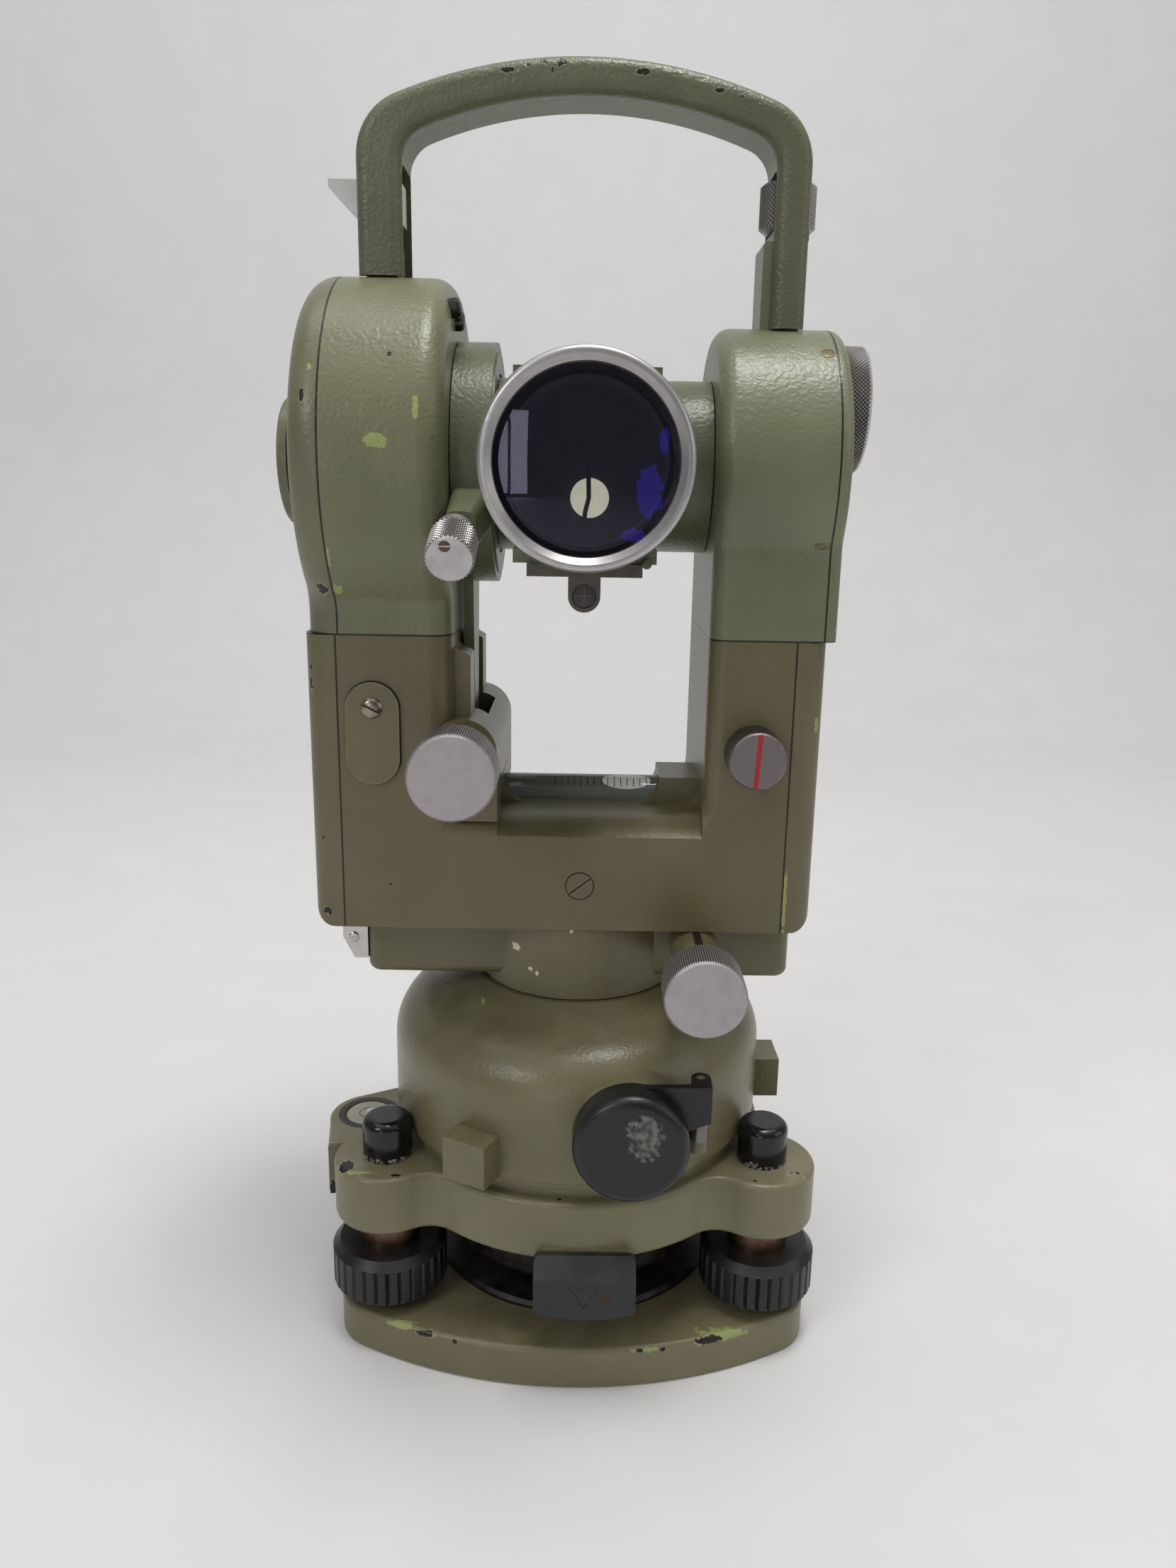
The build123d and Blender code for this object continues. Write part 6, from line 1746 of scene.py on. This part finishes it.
@dataclass
class TelescopeDress:
    """Telescope with its objective, its sight and the rear rings."""

    tilt_z: float = 252.7
    light_centre: Triple = (0.9, 24.0, 246.4)
    light_r: float = 4.5
    sight_drop: float = 32.4
    sight_r: float = 3.1
    hook: Triple = (15.6, -39.5, 228.6)

    def dress(self, bench: Bench) -> None:
        """Finishes the nodes and adds what shows inside the tube and on the sight.

        Args:
            bench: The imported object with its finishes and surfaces.
        """
        bench.finish(
            Enamel("enamel_telescope", (104, 111, 82), (92, 98, 72), relief=0.16, edges=0.4), "telescope_body"
        )
        centre = (0.0, -60.0, self.tilt_z)
        bench.finish(
            Metal(
                "objective_aluminium", (188, 184, 184), 0.38, centre=centre, along=Axis.FRONT.value,
                pitch=0.25, lines=0.006, stains=0.12,
            ),
            "objective_ring",
        )
        flares = (
            Chip((14.6, -62.0, 246.5), (3.0, 3.0, 6.0), ragged=0.35),
            Chip((11.0, -62.0, 236.5), (3.2, 3.0, 1.6), ragged=0.35),
            Chip((17.6, -62.0, 257.5), (1.1, 3.0, 3.0), ragged=0.3),
        )
        coated = Glass("coated_objective", (214, 214, 226), 1.0, 0.0, (226, 222, 255), 0.02, flares)
        bench.finish(coated, "objective_lens")
        black = bench.finish(Metal("tube_black", (8, 8, 10), 0.6, 0.0, stains=0.0))
        bench.finish(Metal("hub_steel", (110, 106, 100), 0.35, stains=0.3), "trunnion_axles")
        sight = bench.finish(
            Metal("sight_paint", (84, 78, 68), 0.45, 0.0, stain_and_groove_shade=(56, 50, 46), stains=0.6, edges=0.35),
            "sights",
        )
        bench.finish(
            Plastic("black_rings", (26, 26, 28), 0.36, 0.3, 0.1), "focusing_ring", "eyepiece_ring",
            "microscope_ring",
        )
        self._inside(bench, black)
        self._sight_glasses(bench, sight)

    def _inside(self, bench: Bench, black: Material) -> None:
        """Black lining of the tube and the daylight at its far end.

        Args:
            bench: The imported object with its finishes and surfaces.
            black: The lining's material.
        """
        shaper = Shaper()
        place = place_on((0.0, 28.8, self.tilt_z), Axis.FRONT.value)
        shaper.turned(
            place, [(0.0, 18.9), (85.5, 18.9), (85.5, 18.4), (0.3, 18.4), (0.3, 9.0), (0.3, 1.0)], 64
        )
        shaper.piece("tube_lining", "telescope", black)
        cream = bench.finish(Glow("far_daylight", (222, 220, 190), 0.9))
        shaper = Shaper()
        shaper.turned(
            place_on(self.light_centre, Axis.FRONT.value),
            [(-0.3, self.light_r), (0.0, self.light_r), (0.0, 2.0)], 48,
        )
        shaper.piece("eyepiece_light", "telescope", cream)
        shaper = Shaper()
        x, y, z = self.light_centre
        bends = ((-0.4, 7.5), (-0.2, 0.0), (-1.0, -3.2), (-1.3, -6.5))
        shaper.tube([mm(x + aside, y - 1.0, z + rise) for aside, rise in bends], 0.55 * MM)
        shaper.piece("focus_fork", "telescope", black)

    def _sight_glasses(self, bench: Bench, rim: Material) -> None:
        """Small window with cross lines in the sight, and the hook beside it.

        Args:
            bench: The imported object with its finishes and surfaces.
            rim: The hook's material.
        """
        glass = bench.finish(Plastic("sight_window", (66, 60, 58), 0.1, 0.0, 0.02, 0.0))
        lines = bench.finish(Metal("sight_lines", (112, 106, 102), 0.4, 0.0))
        point, _ = bench.surface("sights", (0.0, -90.0, self.tilt_z - self.sight_drop), Axis.BACK.value)
        place = place_on(point, Axis.FRONT.value)
        shaper = Shaper()
        shaper.turned(place, [(0.0, self.sight_r), (0.12, self.sight_r - 0.1), (0.18, 2.0), (0.2, 0.8)], 40)
        shaper.piece("sight_window", "telescope", glass)
        shaper = Shaper()
        for a, b in (((-2.6, 0.0), (2.6, 0.0)), ((0.0, -2.6), (0.0, 2.6))):
            ends = [place @ Vector((a[0], a[1], 0.2)), place @ Vector((b[0], b[1], 0.2))]
            shaper.tube([ends[0], (ends[0] + ends[1]) / 2, ends[1]], 0.09 * MM, count=6)
        shaper.piece("sight_cross", "telescope", lines)
        shaper = Shaper()
        hook = place_on(self.hook, Axis.FRONT.value)
        shaper.turned(hook, [(-9.0, 1.3), (0.7, 1.3), (1.1, 1.0), (1.2, 0.6)], 24)
        shaper.piece("sight_hook", "telescope", rim)


@dataclass
class HandleDress:
    """Carrying handle with its knurled screw and its spring lever."""

    knob_x: float = 52.3
    knob_r: float = 7.5
    low: float = 313.4
    high: float = 325.4
    pin: tuple[float, float] = (-56.4, 318.6)
    half: float = 10.4
    shaft_end: float = 300.2
    groove: float = 0.38
    diamonds: int = 40
    rows: int = 9

    def dress(self, bench: Bench) -> None:
        """Finishes the nodes and builds the knob that stands for its CAD node.

        Args:
            bench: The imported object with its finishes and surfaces.
        """
        chips = (
            Chip((-21.0, -10.2, 348.0), (2.4, 1.0, 0.8), ragged=0.55),
            Chip((-16.2, -10.0, 349.2), (0.8, 0.8, 0.7), ragged=0.4),
            Chip((-12.4, -9.6, 350.2), (1.4, 1.0, 0.8), ragged=0.5),
            Chip((-8.0, -9.8, 350.0), (1.5, 1.2, 1.1), ragged=0.5),
            Chip((-10.1, -10.4, 348.2), (0.4, 0.8, 1.0), ragged=0.4),
            Chip((12.7, -10.4, 348.3), (1.8, 1.0, 0.9), ragged=0.5),
            Chip((32.0, -10.4, 344.3), (1.6, 1.0, 0.6), ragged=0.4),
            Chip((37.8, -10.4, 343.1), (0.4, 0.8, 0.5), ragged=0.3),
        )
        paint = bench.finish(
            Enamel(
                "enamel_handle", (106, 107, 83), (94, 94, 72), chips, pitch=0.95, relief=0.26, edges=0.8,
                edge_cover=0.5,
            ), "handle"
        )
        bench.finish(
            Metal("lever_steel", (206, 203, 199), 0.34, 0.75, stains=0.2, stain_and_groove_shade=(170, 165, 160), edges=0.3),
            "handle_lever",
        )
        shaper = Shaper()
        pin_x, pin_z = self.pin
        for side, y in ((Axis.FRONT, -self.half), (Axis.BACK, self.half)):
            shaper.turned(
                place_on((pin_x, y, pin_z), side.value), [(-0.25, 1.44), (-0.06, 1.44), (-0.02, 0.9)], 24
            )
        shaper.piece("pin_filler", "handle", paint)
        centre = (self.knob_x, 0.0, self.low)
        silver = bench.finish(
            Metal("handle_knob_aluminium", (176, 172, 168), 0.38, 0.6, centre=centre, groove=True)
        )
        place = place_on(centre, Axis.UP.value)
        shaper = Shaper()
        height = self.high - self.low
        band = shaper.knurled(place, self.knob_r, self.groove, 1.1, height - 1.0, self.diamonds, self.rows)
        above = [(height - 0.2, self.knob_r - 0.9), (height, self.knob_r - 1.3), (height, 3.0)]
        below = [
            (0.2, self.knob_r - 1.0), (0.0, self.knob_r - 1.4), (0.0, 2.5), (self.shaft_end - self.low, 2.5)
        ]
        shaper.finish_band(place, band, below, above)
        made = shaper.piece("handle_knob_knurled", "handle_screw", silver)
        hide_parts("handle_knob")


@dataclass(frozen=True)
class Lamp:
    """A rectangular soft light: place, aim and size in metres, power in watts."""

    name: str
    where: Triple
    aim: Triple
    size: tuple[float, float]
    power: float
    colour: Triple


LAMPS = (
    Lamp("ceiling_light", (0.12, -0.1, 1.25), (0.0, 0.0, 0.18), (0.4, 0.25), 5.0, (1.0, 0.99, 0.97)),
    Lamp("window_light", (-0.95, -1.1, 1.05), (0.0, 0.0, 0.18), (0.5, 0.5), 4.5, (0.98, 0.99, 1.0)),
    Lamp("soft_ceiling", (0.0, -0.2, 1.9), (0.0, 0.1, 0.0), (2.4, 2.4), 11.0, (1.0, 0.995, 0.985)),
    Lamp("backdrop_light", (0.0, 0.15, 1.7), (0.0, 0.9, 0.3), (2.2, 0.5), 4.5, (1.0, 1.0, 1.0)),
    Lamp("left_pane", (-0.72, -2.0, 0.36), (0.0, 0.0, 0.25), (0.14, 0.66), 0.9, (0.95, 0.97, 1.0)),
    Lamp("right_pane", (-0.55, -2.0, 0.36), (0.0, 0.0, 0.25), (0.14, 0.66), 0.9, (0.95, 0.97, 1.0)),
    Lamp("right_fill", (1.3, -0.5, 0.7), (0.0, 0.0, 0.22), (0.9, 0.9), 2.2, (1.0, 0.99, 0.98)),
)


@dataclass
class Studio:
    """Pale sweep, soft lights and the camera of the photograph, in metres apart from the eye."""

    lens: float = 26.59
    sensor: float = 36.0
    eye: Triple = (0.0, -335.5, 246.7)
    pitch: float = 14.3
    yaw: float = 0.357
    roll: float = 1.04
    floor_half: float = 2.4
    floor_back: float = 0.75
    bend: float = 0.35
    wall_height: float = 1.8
    bend_steps: int = 12
    room_colour: tuple[float, float, float, float] = (0.86, 0.86, 0.87, 1.0)
    room_strength: float = 0.26

    def build(self, bench: Bench) -> None:
        """Makes the sweep, the lights and the camera.

        Args:
            bench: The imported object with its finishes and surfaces.
        """
        self._camera()
        self._sweep(bench)
        for lamp in LAMPS:
            self._hang(lamp)
        world = bpy.data.worlds.new("pale_room")
        world.use_nodes = True
        ground = world.node_tree.nodes["Background"]
        ground.inputs["Color"].default_value = self.room_colour
        ground.inputs["Strength"].default_value = self.room_strength
        scene = bpy.context.scene
        scene.world = world
        scene.view_settings.view_transform = "Standard"

    def _camera(self) -> None:
        """The camera where the photograph was taken from."""
        pitch, yaw, roll = (math.radians(value) for value in (self.pitch, self.yaw, self.roll))
        ahead = Vector((math.cos(pitch) * math.sin(yaw), math.cos(pitch) * math.cos(yaw), -math.sin(pitch)))
        right = Vector((math.cos(yaw), -math.sin(yaw), 0.0))
        upward = right.cross(ahead)
        side = math.cos(roll) * right + math.sin(roll) * upward
        top = math.cos(roll) * upward - math.sin(roll) * right
        data = bpy.data.cameras.new("view")
        data.sensor_fit = "AUTO"
        data.sensor_width = self.sensor
        data.lens = self.lens
        data.clip_start = 0.01
        camera = bpy.data.objects.new("view", data)
        camera.matrix_world = Matrix.Translation(mm(*self.eye)) @ Matrix(
            (side, top, -ahead)
        ).transposed().to_4x4()
        bpy.context.scene.collection.objects.link(camera)
        bpy.context.scene.camera = camera

    def _sweep(self, bench: Bench) -> None:
        """Floor and backdrop in one curved sheet.

        Args:
            bench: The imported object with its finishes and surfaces.
        """
        profile = [(-self.floor_half, -0.0001), (self.floor_back, -0.0001)]
        for index in range(1, self.bend_steps + 1):
            angle = math.pi / 2 * index / self.bend_steps
            profile.append((self.floor_back + self.bend * math.sin(angle), self.bend * (1 - math.cos(angle))))
        profile.append((self.floor_back + self.bend, self.wall_height))
        sheet = bmesh.new()
        rows = [
            [sheet.verts.new((x, y, z)) for y, z in profile] for x in (-self.floor_half, 0.0, self.floor_half)
        ]
        for left, right in zip(rows, rows[1:]):
            for step in range(len(profile) - 1):
                sheet.faces.new((left[step], right[step], right[step + 1], left[step + 1]))
        data = bpy.data.meshes.new("sweep")
        sheet.to_mesh(data)
        sheet.free()
        data.polygons.foreach_set("use_smooth", [True] * len(data.polygons))
        material, tree, shader = new_material("pale_paper")
        smudge = use_group(tree, bench.effects.stipple, Pitch=40.0)
        tone = tree.ramp(smudge.outputs["Height"], 0.1, 0.6)
        tree.feed(shader.inputs["Base Color"], tree.mix(tone, srgb(226, 225, 225), srgb(229, 228, 228)))
        shader.inputs["Roughness"].default_value = 0.6
        data.materials.append(material)
        made = bpy.data.objects.new("sweep", data)
        bpy.context.scene.collection.objects.link(made)

    @staticmethod
    def _hang(lamp: Lamp) -> None:
        """Hangs a lamp and turns it to what it lights.

        Args:
            lamp: The lamp.
        """
        data = bpy.data.lights.new(lamp.name, "AREA")
        data.shape = "RECTANGLE"
        data.size, data.size_y = lamp.size
        data.energy = lamp.power
        data.color = lamp.colour
        made = bpy.data.objects.new(lamp.name, data)
        made.location = lamp.where
        made.rotation_euler = (Vector(lamp.aim) - Vector(lamp.where)).to_track_quat("-Z", "Y").to_euler()
        bpy.context.scene.collection.objects.link(made)


def fit_drive_knobs(bench: Bench) -> None:
    """Builds the ribbed knobs of the drives and the selector.

    Args:
        bench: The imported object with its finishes.
    """
    # groove gives these ribbed rims painted shade in their grooves
    face = {"pitch": 0.4, "lines": 0.003, "stains": 0.12, "groove": True}
    satin = bench.finish(
        Metal("satin_aluminium", (178, 171, 174), 0.46, 0.8, **face), "horizontal_clamp_knob"
    )
    grey = bench.finish(Metal("selector_aluminium", (132, 124, 124), 0.42, **face))
    horizontal = KnobMaker(
        (33.0, 0.0, 120.0), 10.9, 62.0, 50.3, 108, "horizontal_drive", "horizontal_drive_knob", 3.2, 3.3
    )
    vertical = KnobMaker(
        (-32.05, 0.0, 177.1), 11.25, 60.0, 47.3, 112, "vertical_drive", "vertical_drive_knob", 3.0, 7.1
    )
    selector = KnobMaker((46.1, 0.0, 178.5), 7.7, 42.0, 31.3, 78, "selector", "selector_knob", 2.5, 20.0, 0.5)
    horizontal.make(satin)
    vertical.make(satin)
    selector.make(grey)


def main() -> None:
    """Loads the frame, dresses every sub-assembly and sets up the studio."""
    logging.basicConfig(level=logging.INFO, format="%(name)s: %(message)s")
    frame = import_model()
    bench = Bench(frame)
    for sub_assembly in (
        TribrachDress(),
        CircleHousingDress(),
        AxisDress(),
        AlidadeDress(),
        UpperDress(),
        VerticalMotionDress(),
        TelescopeDress(),
        HandleDress(),
    ):
        sub_assembly.dress(bench)
    fit_drive_knobs(bench)
    Studio().build(bench)


if __name__ == "__main__":
    main()
